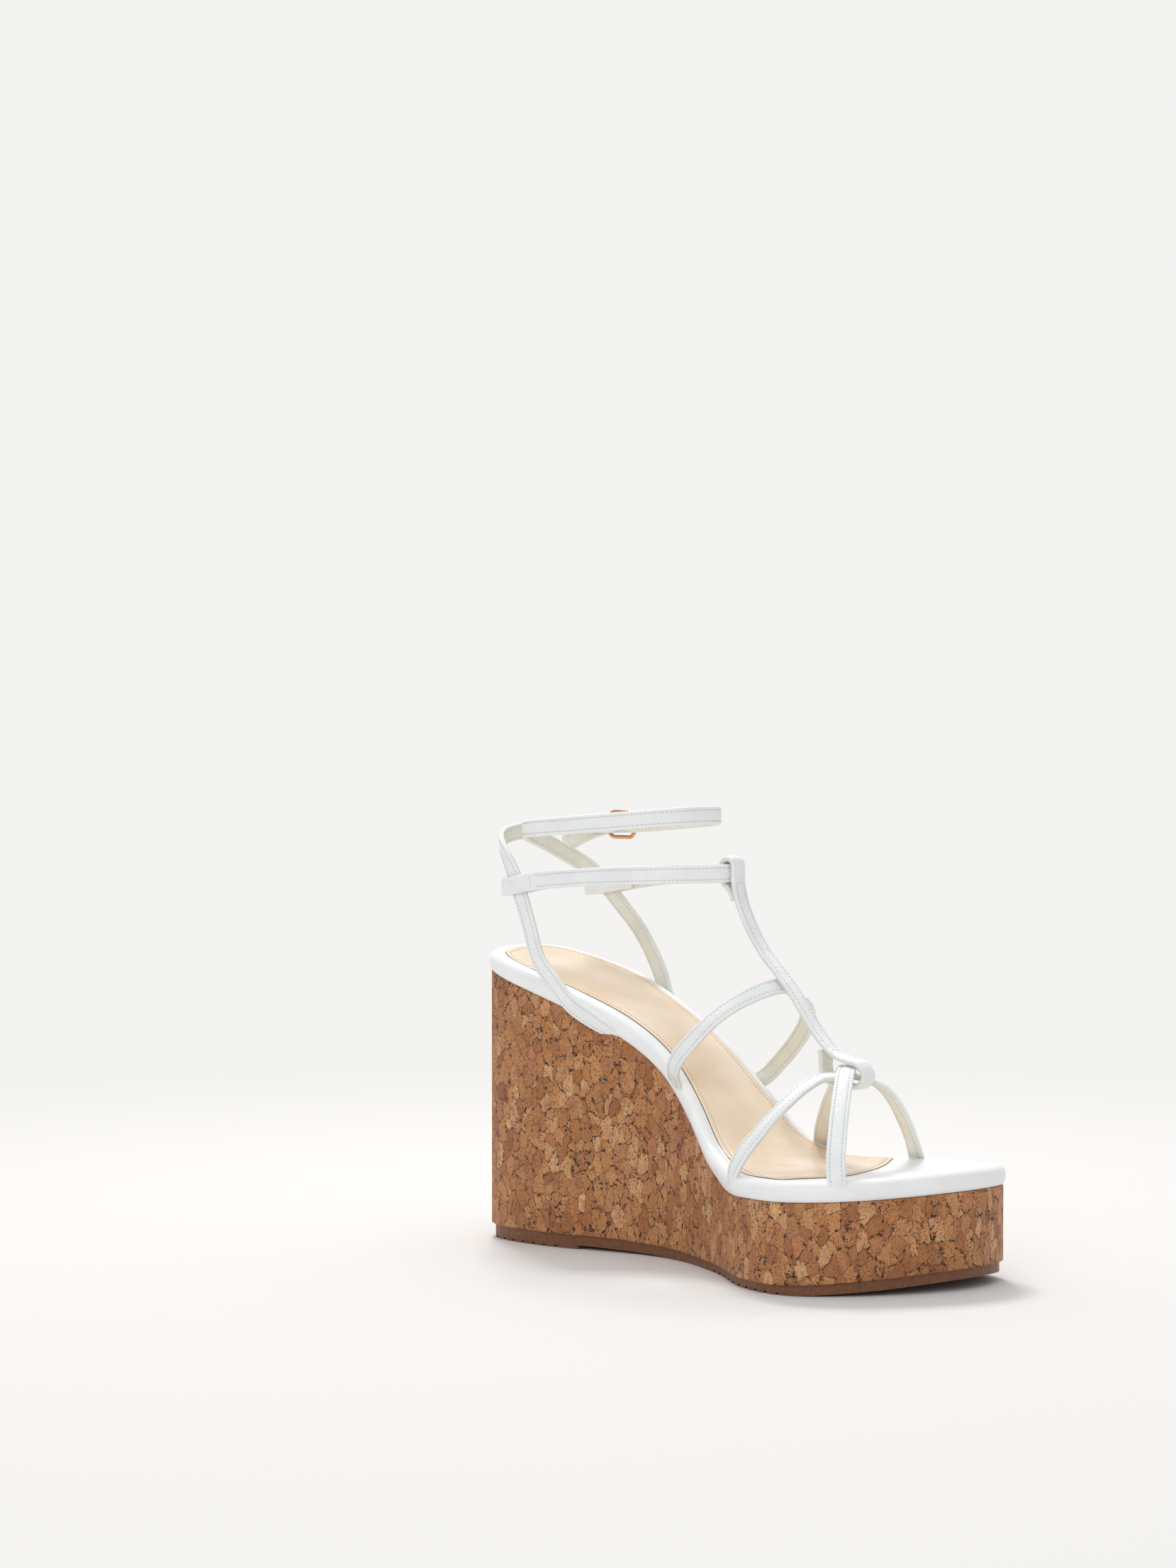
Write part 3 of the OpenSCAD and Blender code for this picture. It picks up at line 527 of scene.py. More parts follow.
@dataclass(frozen=True)
class CorkVeneer:
    """Agglomerated cork: pressed bark chips of a few millimetres, cut flat, lightly waxed.

    The eye sees angular chips in close browns, each with its own growth lines, short black cracks where chips
    meet and rows of small dark pores inside some of them.
    """

    chip_mm: float = 4.4
    joint: str = "#35200f"
    pore: str = "#2c1a0d"
    bark: str = "#7a4d2c"
    browns: tuple = ((0.0, "#a66c3d"), (0.15, "#bd824d"), (0.3, "#cc945c"), (0.42, "#b07546"),
                     (0.55, "#d8a26c"), (0.68, "#bd8057"), (0.84, "#e0b07f"), (1.0, "#ae7244"))

    def build(self, name: str) -> bpy.types.Material:
        """Makes the material.

        Args:
            name: Name of the material.

        Returns:
            The material.
        """
        material, tree, shader, place = start_material(name, 0.6)
        # Chips: the cell pattern is read at a place that two noises, of 6 mm and 1.6 mm, have pushed about by
        # up to 1.8 mm and 1.2 mm, so that the cells lose their straight sides.
        moved = place
        output = "Object"
        for scale, reach in ((170.0, 0.0036), (620.0, 0.0024)):
            wobble = add(tree, "ShaderNodeTexNoise", {"Scale": scale, "Detail": 2.0},
                         {"Vector": (place, "Object")})
            centred = add(tree, "ShaderNodeVectorMath", {"operation": "SUBTRACT", 1: (0.5, 0.5, 0.5)},
                          {0: (wobble, "Color")})
            push = add(tree, "ShaderNodeVectorMath", {"operation": "SCALE", "Scale": reach},
                       {0: (centred, 0)})
            moved = add(tree, "ShaderNodeVectorMath", {"operation": "ADD"},
                        {0: (moved, output), 1: (push, 0)})
            output = 0
        squeeze = add(tree, "ShaderNodeMapping", {"Scale": (1.0, 1.0, 0.6), "Rotation": (0.3, 0.25, 0.0)},
                      {"Vector": (moved, 0)})
        cells = add(tree, "ShaderNodeTexVoronoi", {"Scale": 1000.0 / self.chip_mm}, {"Vector": (squeeze, 0)})
        joints = add(tree, "ShaderNodeTexVoronoi",
                     {"feature": "DISTANCE_TO_EDGE", "Scale": 1000.0 / self.chip_mm},
                     {"Vector": (squeeze, 0)})
        chip = add(tree, "ShaderNodeSeparateColor", links={0: (cells, "Color")})
        base = add(tree, "ShaderNodeValToRGB", {"stops": self.browns}, {0: (chip, 0)})
        # Growth lines: waves and streaks 2.3 mm long and 0.5 mm wide, whose direction differs from chip to
        # chip. Real ones are finer, and wouldn't show.
        turn = add(tree, "ShaderNodeVectorMath", {"operation": "SCALE", "Scale": 5.0}, {0: (cells, "Color")})
        lined = add(tree, "ShaderNodeVectorRotate", {"rotation_type": "EULER_XYZ"},
                    {"Vector": (place, "Object"), "Rotation": (turn, 0)})
        stretch = add(tree, "ShaderNodeMapping", {"Scale": (1.0, 5.0, 1.8)}, {"Vector": (lined, 0)})
        grain = add(tree, "ShaderNodeTexNoise", {"Scale": 430.0, "Detail": 4.0, "Roughness": 0.66},
                    {"Vector": (stretch, 0)})
        shade = add(tree, "ShaderNodeValToRGB",
                    {"stops": ((0.26, "#a89484"), (0.42, "#dcd2ca"), (0.55, "#f6f2ee"), (0.7, "#ffffff"))},
                    {0: (grain, "Fac")})
        toned = add(tree, "ShaderNodeMix", {"data_type": "RGBA", "blend_type": "MULTIPLY", 0: 1.0},
                    {6: (base, 0), 7: (shade, 0)})
        # A slow drift, of 10 mm, makes some areas greyer or pinker and some more golden, as on a sheet of
        # mixed bark.
        drift = add(tree, "ShaderNodeTexNoise", {"Scale": 95.0, "Detail": 3.0}, {"Vector": (place, "Object")})
        warm = add(tree, "ShaderNodeValToRGB",
                   {"stops": ((0.3, "#e6d2c2"), (0.48, "#ffffff"), (0.7, "#fff2e0"))}, {0: (drift, "Fac")})
        drifted = add(tree, "ShaderNodeMix", {"data_type": "RGBA", "blend_type": "MULTIPLY", 0: 1.0},
                      {6: (toned, 2), 7: (warm, 0)})
        # Every chip is a little darker where it meets the next.
        rim = add(tree, "ShaderNodeValToRGB", {"stops": ((0.0, "#ab8a70"), (0.06, "#ffffff"))},
                  {0: (joints, "Distance")})
        rimmed = add(tree, "ShaderNodeMix", {"data_type": "RGBA", "blend_type": "MULTIPLY", 0: 0.55},
                     {6: (drifted, 2), 7: (rim, 0)})
        # Cracks: black lines at the joints, swelling and breaking off with a noise of 2 mm.
        gap = add(tree, "ShaderNodeTexNoise", {"Scale": 520.0, "Detail": 3.0, "Roughness": 0.7},
                  {"Vector": (place, "Object")})
        wide = add(tree, "ShaderNodeMapRange", {1: 0.48, 2: 0.68, 3: 0.0, 4: 0.085}, {0: (gap, "Fac")})
        crack = add(tree, "ShaderNodeMath", {"operation": "LESS_THAN"},
                    {0: (joints, "Distance"), 1: (wide, 0)})
        # Pores: dark slits of 1.6 mm by 0.7 mm cells, in clusters of 5 mm.
        slits = add(tree, "ShaderNodeMapping", {"Scale": (1.0, 2.3, 1.0)}, {"Vector": (lined, 0)})
        slit = add(tree, "ShaderNodeTexVoronoi", {"Scale": 640.0}, {"Vector": (slits, 0)})
        near = add(tree, "ShaderNodeMath", {"operation": "LESS_THAN", 1: 0.24}, {0: (slit, "Distance")})
        cluster = add(tree, "ShaderNodeTexNoise", {"Scale": 210.0, "Detail": 1.0},
                      {"Vector": (place, "Object")})
        many = add(tree, "ShaderNodeMath", {"operation": "GREATER_THAN", 1: 0.52}, {0: (cluster, "Fac")})
        pore = add(tree, "ShaderNodeMath", {"operation": "MULTIPLY"}, {0: (near, 0), 1: (many, 0)})
        # Dark bark flecks: thin slanted streaks in places, 1.1 mm long and 0.2 mm wide.
        streak = add(tree, "ShaderNodeTexNoise", {"Scale": 900.0, "Detail": 2.0}, {"Vector": (stretch, 0)})
        fleck = add(tree, "ShaderNodeMath", {"operation": "GREATER_THAN", 1: 0.62}, {0: (streak, "Fac")})
        flecked = add(tree, "ShaderNodeMix", {"data_type": "RGBA", 7: linear(self.bark)},
                      {0: (fleck, 0), 6: (rimmed, 2)})
        cracked = add(tree, "ShaderNodeMix", {"data_type": "RGBA", 7: linear(self.joint)},
                      {0: (crack, 0), 6: (flecked, 2)})
        pored = add(tree, "ShaderNodeMix", {"data_type": "RGBA", 7: linear(self.pore)},
                    {0: (pore, 0), 6: (cracked, 2)})
        tree.links.new(pored.outputs[2], shader.inputs["Base Color"])
        sunk = add(tree, "ShaderNodeMath", {"operation": "MAXIMUM"}, {0: (crack, 0), 1: (pore, 0)})
        height = add(tree, "ShaderNodeMath", {"operation": "SUBTRACT"}, {0: (grain, "Fac"), 1: (sunk, 0)})
        bump = add(tree, "ShaderNodeBump", {"Strength": 0.5, "Distance": 0.0002}, {"Height": (height, 0)})
        tree.links.new(bump.outputs[0], shader.inputs["Normal"])
        shader.inputs["Coat Weight"].default_value = 0.05
        shader.inputs["Coat Roughness"].default_value = 0.35
        return material


@dataclass(frozen=True)
class CoatedLeather:
    """Polyurethane-coated leather: a smooth white film with a faint pebble, rolled from hot plate.

    The eye sees soft broad highlights, a fine pebble and slight creases where it bends.
    """

    colour: str
    shade: str
    roughness: float = 0.42
    grain_mm: float = 0.75
    pebble: float = 0.3
    crease: float = 0.32

    def build(self, name: str) -> bpy.types.Material:
        """Makes the material.

        Args:
            name: Name of the material.

        Returns:
            The material.
        """
        material, tree, shader, place = start_material(name, self.roughness)
        # A cloudy tint of 11 mm, over which the film is a little thicker or thinner; creases of 2.4 mm.
        cloud = add(tree, "ShaderNodeTexNoise", {"Scale": 90.0, "Detail": 3.0}, {"Vector": (place, "Object")})
        tint = add(tree, "ShaderNodeValToRGB", {"stops": ((0.3, self.shade), (0.62, self.colour))},
                   {0: (cloud, "Fac")})
        tree.links.new(tint.outputs[0], shader.inputs["Base Color"])
        pebble = add(tree, "ShaderNodeTexVoronoi", {"feature": "SMOOTH_F1", "Scale": 1000.0 / self.grain_mm},
                     {"Vector": (place, "Object")})
        crease = add(tree, "ShaderNodeTexNoise",
                     {"Scale": 420.0, "Detail": 4.0, "Roughness": 0.6, "Distortion": 0.8},
                     {"Vector": (place, "Object")})
        fine = add(tree, "ShaderNodeBump", {"Strength": self.pebble, "Distance": 0.00018},
                   {"Height": (pebble, "Distance")})
        soft = add(tree, "ShaderNodeBump", {"Strength": self.crease, "Distance": 0.0007},
                   {"Height": (crease, "Fac"), "Normal": (fine, 0)})
        tree.links.new(soft.outputs[0], shader.inputs["Normal"])
        gloss = add(tree, "ShaderNodeMapRange",
                    {1: 0.3, 2: 0.7, 3: self.roughness - 0.06, 4: self.roughness + 0.08}, {0: (cloud, "Fac")})
        tree.links.new(gloss.outputs[0], shader.inputs["Roughness"])
        shader.inputs["Specular IOR Level"].default_value = 0.45
        return material


@dataclass(frozen=True)
class SockLeather:
    """Thin tan lining leather glued over foam: smooth, soft sheen, slightly crinkled under the ball.

    The eye sees a warm beige with cloudy lighter patches; a dark line all round the edge is painted shade
    for the gap where the sock meets the cover.
    """

    light: str = "#f2e0ca"
    deep: str = "#e3c8a8"
    # Colour and width of the painted shade along the sock's edge, for the gap where it meets the cover.
    edge: str = "#5a3a26"
    gap_shade_mm: float = 0.45

    def build(self, name: str) -> bpy.types.Material:
        """Makes the material.

        Args:
            name: Name of the material.

        Returns:
            The material.
        """
        material, tree, shader, place = start_material(name, 0.33)
        # Patches of 30 mm, as the hide takes the dye.
        cloud = add(tree, "ShaderNodeTexNoise", {"Scale": 34.0, "Detail": 3.0, "Roughness": 0.45},
                    {"Vector": (place, "Object")})
        tint = add(tree, "ShaderNodeValToRGB", {"stops": ((0.32, self.deep), (0.66, self.light))},
                   {0: (cloud, "Fac")})
        # Painted shade: a dark line along the sock's edge and under it, where the gap to the cover lies in
        # shade.
        inset = add(tree, "ShaderNodeAttribute", {"attribute_name": "inset"})
        gap_shade_mask = add(tree, "ShaderNodeMath", {"operation": "LESS_THAN", 1: self.gap_shade_mm * MM},
                  {0: (inset, "Fac")})
        gap_shaded = add(tree, "ShaderNodeMix", {"data_type": "RGBA", 7: linear(self.edge)},
                    {0: (gap_shade_mask, 0), 6: (tint, 0)})
        tree.links.new(gap_shaded.outputs[2], shader.inputs["Base Color"])
        # Crinkles of 15 mm by 3.5 mm run across the foot and are strongest under the ball, fading out towards
        # the heel. The pores are drawn at 0.7 mm, coarser than real ones, to show.
        across = add(tree, "ShaderNodeMapping", {"Scale": (0.35, 1.5, 1.0), "Rotation": (0.0, 0.0, 0.35)},
                     {"Vector": (place, "Object")})
        crinkle = add(tree, "ShaderNodeTexNoise", {"Scale": 190.0, "Detail": 5.0, "Distortion": 0.8},
                      {"Vector": (across, 0)})
        where = add(tree, "ShaderNodeSeparateXYZ", links={0: (place, "Object")})
        ball = add(tree, "ShaderNodeMapRange", {1: 0.01, 2: -0.045, 3: 0.12, 4: 1.0}, {0: (where, 1)})
        amount = add(tree, "ShaderNodeMath", {"operation": "MULTIPLY"}, {0: (crinkle, "Fac"), 1: (ball, 0)})
        wave = add(tree, "ShaderNodeBump", {"Strength": 0.3, "Distance": 0.0012}, {"Height": (amount, 0)})
        pore = add(tree, "ShaderNodeTexNoise", {"Scale": 1500.0, "Detail": 1.0},
                   {"Vector": (place, "Object")})
        fine = add(tree, "ShaderNodeBump", {"Strength": 0.08, "Distance": 0.0001},
                   {"Height": (pore, "Fac"), "Normal": (wave, 0)})
        tree.links.new(fine.outputs[0], shader.inputs["Normal"])
        shader.inputs["Coat Weight"].default_value = 0.25
        shader.inputs["Coat Roughness"].default_value = 0.28
        return material


@dataclass(frozen=True)
class PlatedMetal:
    """Zinc alloy die casting, polished and plated pinkish gold.

    The eye sees bright reflections with a slight haze from polishing.
    """

    colour: str = "#e6b08c"
    shade: str = "#d99f7a"

    def build(self, name: str) -> bpy.types.Material:
        """Makes the material.

        Args:
            name: Name of the material.

        Returns:
            The material.
        """
        material, tree, shader, place = start_material(name, 0.16)
        shader.inputs["Metallic"].default_value = 1.0
        # Haze in spots of 1.1 mm; real polishing lines are too fine to show.
        haze = add(tree, "ShaderNodeTexNoise", {"Scale": 900.0, "Detail": 3.0}, {"Vector": (place, "Object")})
        tint = add(tree, "ShaderNodeValToRGB", {"stops": ((0.3, self.shade), (0.7, self.colour))},
                   {0: (haze, "Fac")})
        tree.links.new(tint.outputs[0], shader.inputs["Base Color"])
        polish = add(tree, "ShaderNodeMapRange", {1: 0.3, 2: 0.7, 3: 0.1, 4: 0.24}, {0: (haze, "Fac")})
        tree.links.new(polish.outputs[0], shader.inputs["Roughness"])
        return material


@dataclass(frozen=True)
class MouldedSole:
    """Rubber moulded in a steel mould.

    The eye sees an even satin brown with the faint mottle that the mould leaves.
    """

    colour: str = "#80522f"
    shade: str = "#694026"
    roughness: float = 0.48
    grain_mm: float = 1.4

    def build(self, name: str) -> bpy.types.Material:
        """Makes the material.

        Args:
            name: Name of the material.

        Returns:
            The material.
        """
        material, tree, shader, place = start_material(name, self.roughness)
        mottle = add(tree, "ShaderNodeTexNoise", {"Scale": 1000.0 / self.grain_mm, "Detail": 3.0},
                     {"Vector": (place, "Object")})
        tint = add(tree, "ShaderNodeValToRGB", {"stops": ((0.3, self.shade), (0.7, self.colour))},
                   {0: (mottle, "Fac")})
        tree.links.new(tint.outputs[0], shader.inputs["Base Color"])
        bump = add(tree, "ShaderNodeBump", {"Strength": 0.2, "Distance": 0.0002}, {"Height": (mottle, "Fac")})
        tree.links.new(bump.outputs[0], shader.inputs["Normal"])
        return material


@dataclass(frozen=True)
class Thread:
    """Twisted polyester sewing thread.

    The eye sees short pale stitches with a soft sheen; the twist is drawn coarser than it is, to show at all.
    """

    colour: str

    def build(self, name: str) -> bpy.types.Material:
        """Makes the material.

        Args:
            name: Name of the material.

        Returns:
            The material.
        """
        material, tree, shader, place = start_material(name, 0.55)
        twist = add(tree, "ShaderNodeTexNoise", {"Scale": 2600.0, "Detail": 1.0},
                    {"Vector": (place, "Object")})
        bump = add(tree, "ShaderNodeBump", {"Strength": 0.3, "Distance": 0.0001}, {"Height": (twist, "Fac")})
        tree.links.new(bump.outputs[0], shader.inputs["Normal"])
        shader.inputs["Base Color"].default_value = linear(self.colour)
        shader.inputs["Sheen Weight"].default_value = 0.2
        return material


@dataclass(frozen=True)
class Wardrobe:
    """Every finish of the sandal, made once and shared by its pieces."""

    cork: bpy.types.Material
    leather: bpy.types.Material
    creased: bpy.types.Material
    padded: bpy.types.Material
    lining: bpy.types.Material
    sock: bpy.types.Material
    thread: bpy.types.Material
    tan_thread: bpy.types.Material
    metal: bpy.types.Material
    rubber: bpy.types.Material
    core: bpy.types.Material

    @classmethod
    def make(cls) -> Wardrobe:
        """Makes every finish.

        Returns:
            The finishes.
        """
        creased = CoatedLeather("#f0f2f2", "#e8ebeb", pebble=0.4, crease=0.7)
        padded = CoatedLeather("#f2f4f4", "#edefef", roughness=0.36, pebble=0.12, crease=0.08)
        lining = CoatedLeather("#ecebe0", "#e2e1d4", roughness=0.5, pebble=0.35, crease=0.35)
        return cls(
            cork=CorkVeneer().build("cork_agglomerate"),
            leather=CoatedLeather("#f0f2f2", "#e9ecec").build("coated_leather_white"),
            creased=creased.build("coated_leather_creased"),
            padded=padded.build("coated_leather_padded"),
            lining=lining.build("strap_lining_ivory"),
            sock=SockLeather().build("sock_leather_tan"),
            # The white thread is coloured light grey: painted shade for the holes and channel the stitches
            # sit in.
            thread=Thread("#c8cecf").build("thread_white_painted_shade"),
            tan_thread=Thread("#cdb08a").build("thread_tan"),
            metal=PlatedMetal().build("plated_metal_rose"),
            rubber=MouldedSole().build("moulded_rubber_brown"),
            core=MouldedSole("#d8cbb2", "#cbbd9f", 0.6).build("moulded_core"),
        )


def dress(piece: bpy.types.Object, material: bpy.types.Material) -> None:
    """Gives a piece its material.

    Args:
        piece: Mesh object.
        material: Its finish.
    """
    piece.data.materials.clear()
    piece.data.materials.append(material)


# ---- the sole ---------------------------------------------------------------------------------------------

@dataclass
class Sole:
    """The wedge, its cork skin, the padded cover and the sock, all drawn round one plan outline."""

    cork_t: float = 1.4
    cork_edge: float = 0.9
    cover_h: float = 8.0
    bulge: float = 0.9
    sock_inset: float = 5.4
    sock_h: float = 8.0
    stitch_in: float = 2.6
    stitch_pitch: float = 1.8
    toe_dip: float = 1.6
    plan: np.ndarray = field(init=False)
    inward: np.ndarray = field(init=False)
    top: np.ndarray = field(init=False)
    bottom: np.ndarray = field(init=False)

    def __post_init__(self) -> None:
        """Samples the outline and the side profiles once."""
        self.plan = even_loop(spline(np.array(OUTLINE), 28, closed=True), 640)
        self.inward = inward_of(self.plan)
        self.top = spline(np.array(CORK_TOP), 8)
        self.bottom = spline(np.array(CORK_BOTTOM), 8)

    def top_z(self, y: np.ndarray) -> np.ndarray:
        """Height of the cork's top edge at a length."""
        return np.interp(y, self.top[:, 0], self.top[:, 1])

    def bottom_z(self, y: np.ndarray) -> np.ndarray:
        """Height of the cork's bottom edge at a length."""
        return np.interp(y, self.bottom[:, 0], self.bottom[:, 1])

    def cork_skin(self) -> bpy.types.Object:
        """The cork sheet round the wedge.

        Every ring is the outline moved in by a row's inset, at a row's share of the height between the bottom
        and top edges; rows run up the outside, over a rounded top edge and back down inside.

        Returns:
            The new object.
        """
        r = self.cork_edge
        arc = np.linspace(0, math.pi / 2, 5)
        rows = [(r * (1 - math.sin(a)), 0.0, r * (1 - math.cos(a))) for a in arc]
        rows += [(0.0, t, r * (1 - 2 * t)) for t in np.linspace(0, 1, 8)[1:-1]]
        rows += [(r * (1 - math.cos(a)), 1.0, r * (math.sin(a) - 1)) for a in arc]
        rows += [(self.cork_t, 1.0, 0.0), (self.cork_t, 0.0, 0.0)]
        rings = []
        for inset, share, lift in rows:
            xy = self.plan + inset * self.inward
            low, high = self.bottom_z(xy[:, 1]), self.top_z(xy[:, 1])
            rings.append(np.column_stack([xy, low + share * (high - low) + lift]))
        faces = grid_faces(len(rows) + 1, len(self.plan), True) % (len(rows) * len(self.plan))
        piece = make_piece("cork_skin", np.vstack(rings), [faces])
        face_outwards(piece)
        return piece

    def sock_loop(self) -> np.ndarray:
        """Edge of the sock: the inset outline behind the slanted front line, with its corners eased.

        Returns:
            (n, 2) closed plan loop at equal steps.
        """
        narrower = 1.3 * smoothstep(-6, 14, self.plan[:, 0]) * smoothstep(-60, -20, self.plan[:, 1])
        inset = self.plan + (self.sock_inset - narrower)[:, None] * self.inward
        front = np.array(SOCK_FRONT)[1:-1]
        front = front[np.argsort(front[:, 0])]
        keep = inset[:, 1] > np.interp(inset[:, 0], front[:, 0], front[:, 1])
        first = int(np.flatnonzero(keep & ~np.roll(keep, 1))[0])
        side = np.roll(inset, -first, axis=0)[:int(keep.sum())]
        x = np.linspace(side[-1, 0], side[0, 0], 40)[1:-1]
        loop = np.vstack([side, np.column_stack([x, np.interp(x, front[:, 0], front[:, 1])])])
        loop = even_loop(loop, 520)
        for _ in range(8):
            loop = (np.roll(loop, 1, axis=0) + 2 * loop + np.roll(loop, -1, axis=0)) / 4
        return loop

    def cover(self) -> bpy.types.Object:
        """The padded white cover over the edge and the whole toe.

        Rows start at the middle line underneath, run out to the cork, swell outwards, round over the edge and
        run level to the middle line again; a soft hollow lets the sock lie in it.

        Returns:
            The new object.
        """
        profile = [(2.4, 0.0), (0.9, 0.02), (0.35, 0.1), (-0.2, 0.55), (-0.62, 1.4), (-self.bulge, 2.7),
                   (-self.bulge, 4.0), (-0.66, 5.3), (-0.12, 6.4), (0.75, 7.3), (1.9, 7.9),
                   (3.0, self.cover_h + 0.1), (4.0, self.cover_h - 0.05), (4.6, self.cover_h - 0.4),
                   (5.0, self.cover_h - 0.65)]
        steps_in = (0.012, 0.03, 0.05, 0.08, 0.12, 0.17, 0.23, 0.3, 0.38, 0.46, 0.54, 0.62, 0.7, 0.78, 0.86,
                    0.94, 1.0)
        loop = self.sock_loop()
        spine = middle_line(self.plan, 28)
        under, over = self.plan + 2.4 * self.inward, self.plan + 5.0 * self.inward
        rows = [((1 - t) * under + t * spine, 0.0) for t in (1.0, 0.75, 0.5, 0.25)]
        rows += [(self.plan + d * self.inward, h) for d, h in profile]
        rows += [((1 - t) * over + t * spine, self.cover_h - 0.2) for t in steps_in]
        rings = []
        for xy, h in rows:
            z = self.top_z(xy[:, 1]) + h
            if h > 6.5:
                away = edge_distance(xy, loop)
                z = z - self.toe_dip * smoothstep(0.4, 4.0, away)
            rings.append(np.column_stack([xy, z]))
        faces = grid_faces(len(rings), len(self.plan), True)
        piece = make_piece("footbed_cover_skin", np.vstack(rings), [faces])
        close_up(piece)
        return piece

    def sock_z(self, xy: np.ndarray, away: np.ndarray) -> np.ndarray:
        """Height of the sock's face: a cushion that dips in the heel and under the ball, with soft creases.

        The creases are sine waves across the ball whose crests wander with x; they fade out towards the heel.

        Args:
            xy: (n, 2) plan points.
            away: (n,) their distances from the sock's edge.

        Returns:
            (n,) heights.
        """
        x, y = xy[:, 0], xy[:, 1]
        sunk = smoothstep(4.0, 26.0, away)
        dip = 1.0 * smoothstep(30, 80, y) + 0.7 * (1 - smoothstep(-70, -10, y))
        ball = (1 - smoothstep(-40, -5, y)) * smoothstep(3.0, 14.0, away)
        crease = 0.16 * np.sin(y / 1.5 + 1.3 * np.sin(x / 8.0) + 0.12 * x) + 0.14 * np.sin(y / 2.9 - 0.3 * x)
        return self.top_z(y) + self.sock_h + 0.3 - dip * sunk + crease * ball

    def sock(self) -> tuple[bpy.types.Object, bpy.types.Object]:
        """The sock lining and its border stitches.

        Rows start at the middle line underneath, run out to a thin rolled edge, dip at the stitch line and
        cross the cushion to the middle line again.

        Returns:
            The sock and its stitches.
        """
        loop = self.sock_loop()
        inward = inward_of(loop)
        spine = middle_line(loop, 26)
        edge = [(1.4, -1.5), (0.5, -1.4), (0.02, -1.1), (0.0, -0.5), (0.06, -0.2), (0.3, 0.02), (0.8, 0.15),
                (1.4, 0.2), (1.9, 0.16), (2.3, 0.05), (2.6, -0.02), (2.9, 0.05), (3.4, 0.2), (4.2, 0.3)]
        under, over = loop + 1.4 * inward, loop + 4.2 * inward
        # The inset mark is each row's distance in from the edge; rows under the sock get 0 and take the
        # painted shade.
        rings, insets = [], []
        for t in (1.0, 0.7, 0.4, 0.15):
            xy = (1 - t) * under + t * spine
            rings.append(np.column_stack([xy, self.top_z(xy[:, 1]) + self.sock_h - 1.5]))
            insets.append(np.zeros(len(loop)))
        for d, h in edge:
            xy = loop + d * inward
            rings.append(np.column_stack([xy, self.top_z(xy[:, 1]) + self.sock_h + h]))
            insets.append(np.full(len(loop), d if h > -0.3 else 0.0))
        for t in np.linspace(0, 1, 40)[1:]:
            xy = (1 - t) * over + t * spine
            away = edge_distance(xy, loop)
            rings.append(np.column_stack([xy, self.sock_z(xy, away)]))
            insets.append(np.full(len(loop), 5.0))
        piece = make_piece("sock_skin", np.vstack(rings), [grid_faces(len(rings), len(loop), True)],
                           {"inset": np.concatenate(insets) * MM})
        close_up(piece)
        line = loop + self.stitch_in * inward
        at = np.column_stack([line, self.top_z(line[:, 1]) + self.sock_h + 0.02])
        at = np.vstack([at, at[:1]])
        up = np.tile([0.0, 0.0, 1.0], (len(at), 1))
        s = length_along(at)
        places = np.arange(0, s[-1], self.stitch_pitch)
        stitches = stitch_mesh("sock_stitches", [row_at(at, up, s, places)])
        return piece, stitches

    def build(self, finishes: Wardrobe) -> list[bpy.types.Object]:
        """Builds and dresses the cork, the padded cover, the sock and the sock's stitches.

        Args:
            finishes: The finishes.

        Returns:
            The pieces.
        """
        cork = self.cork_skin()
        dress(cork, finishes.cork)
        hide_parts("cork_wrap")
        cover = self.cover()
        dress(cover, finishes.padded)
        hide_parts("footbed_cover")
        sock, stitches = self.sock()
        dress(sock, finishes.sock)
        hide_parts("sock_lining")
        dress(stitches, finishes.tan_thread)
        pieces = [cork, cover, sock, stitches]
        for piece in pieces:
            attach(piece, "shoe")
        return pieces

    def dress_core(self, nodes: dict, finishes: Wardrobe) -> None:
        """Dresses the parts whose CAD shape is kept: the outsole and the hidden core, board and foam.

        Args:
            nodes: Node names to their objects.
            finishes: The finishes.
        """
        kept = {"outsole": finishes.rubber, "wedge_core": finishes.core, "insole_board": finishes.core,
                "foam_pad": finishes.core}
        for node, material in kept.items():
            for entry in nodes[node].material_slots:
                entry.material = material


# ---- stitches ---------------------------------------------------------------------------------------------

def row_at(path: np.ndarray, out: np.ndarray, s: np.ndarray, places: np.ndarray) -> tuple:
    """Where the stitches of a row go.

    A stitch points along the chord between the points 0.4 mm behind and ahead of it, and its normal is the
    outward direction less its part along that chord.

    Args:
        path: (n, 3) points of the row.
        out: (n, 3) outward directions.
        s: (n,) lengths along the path.
        places: Lengths at which stitches sit.

    Returns:
        Centres, directions and outward normals of the stitches.
    """
    chord = 0.4
    centre, up = columns_at(places, s, path), unit(columns_at(places, s, out))
    along = unit(columns_at(places + chord, s, path) - columns_at(places - chord, s, path))
    return centre, along, unit(up - (up * along).sum(-1, keepdims=True) * along)


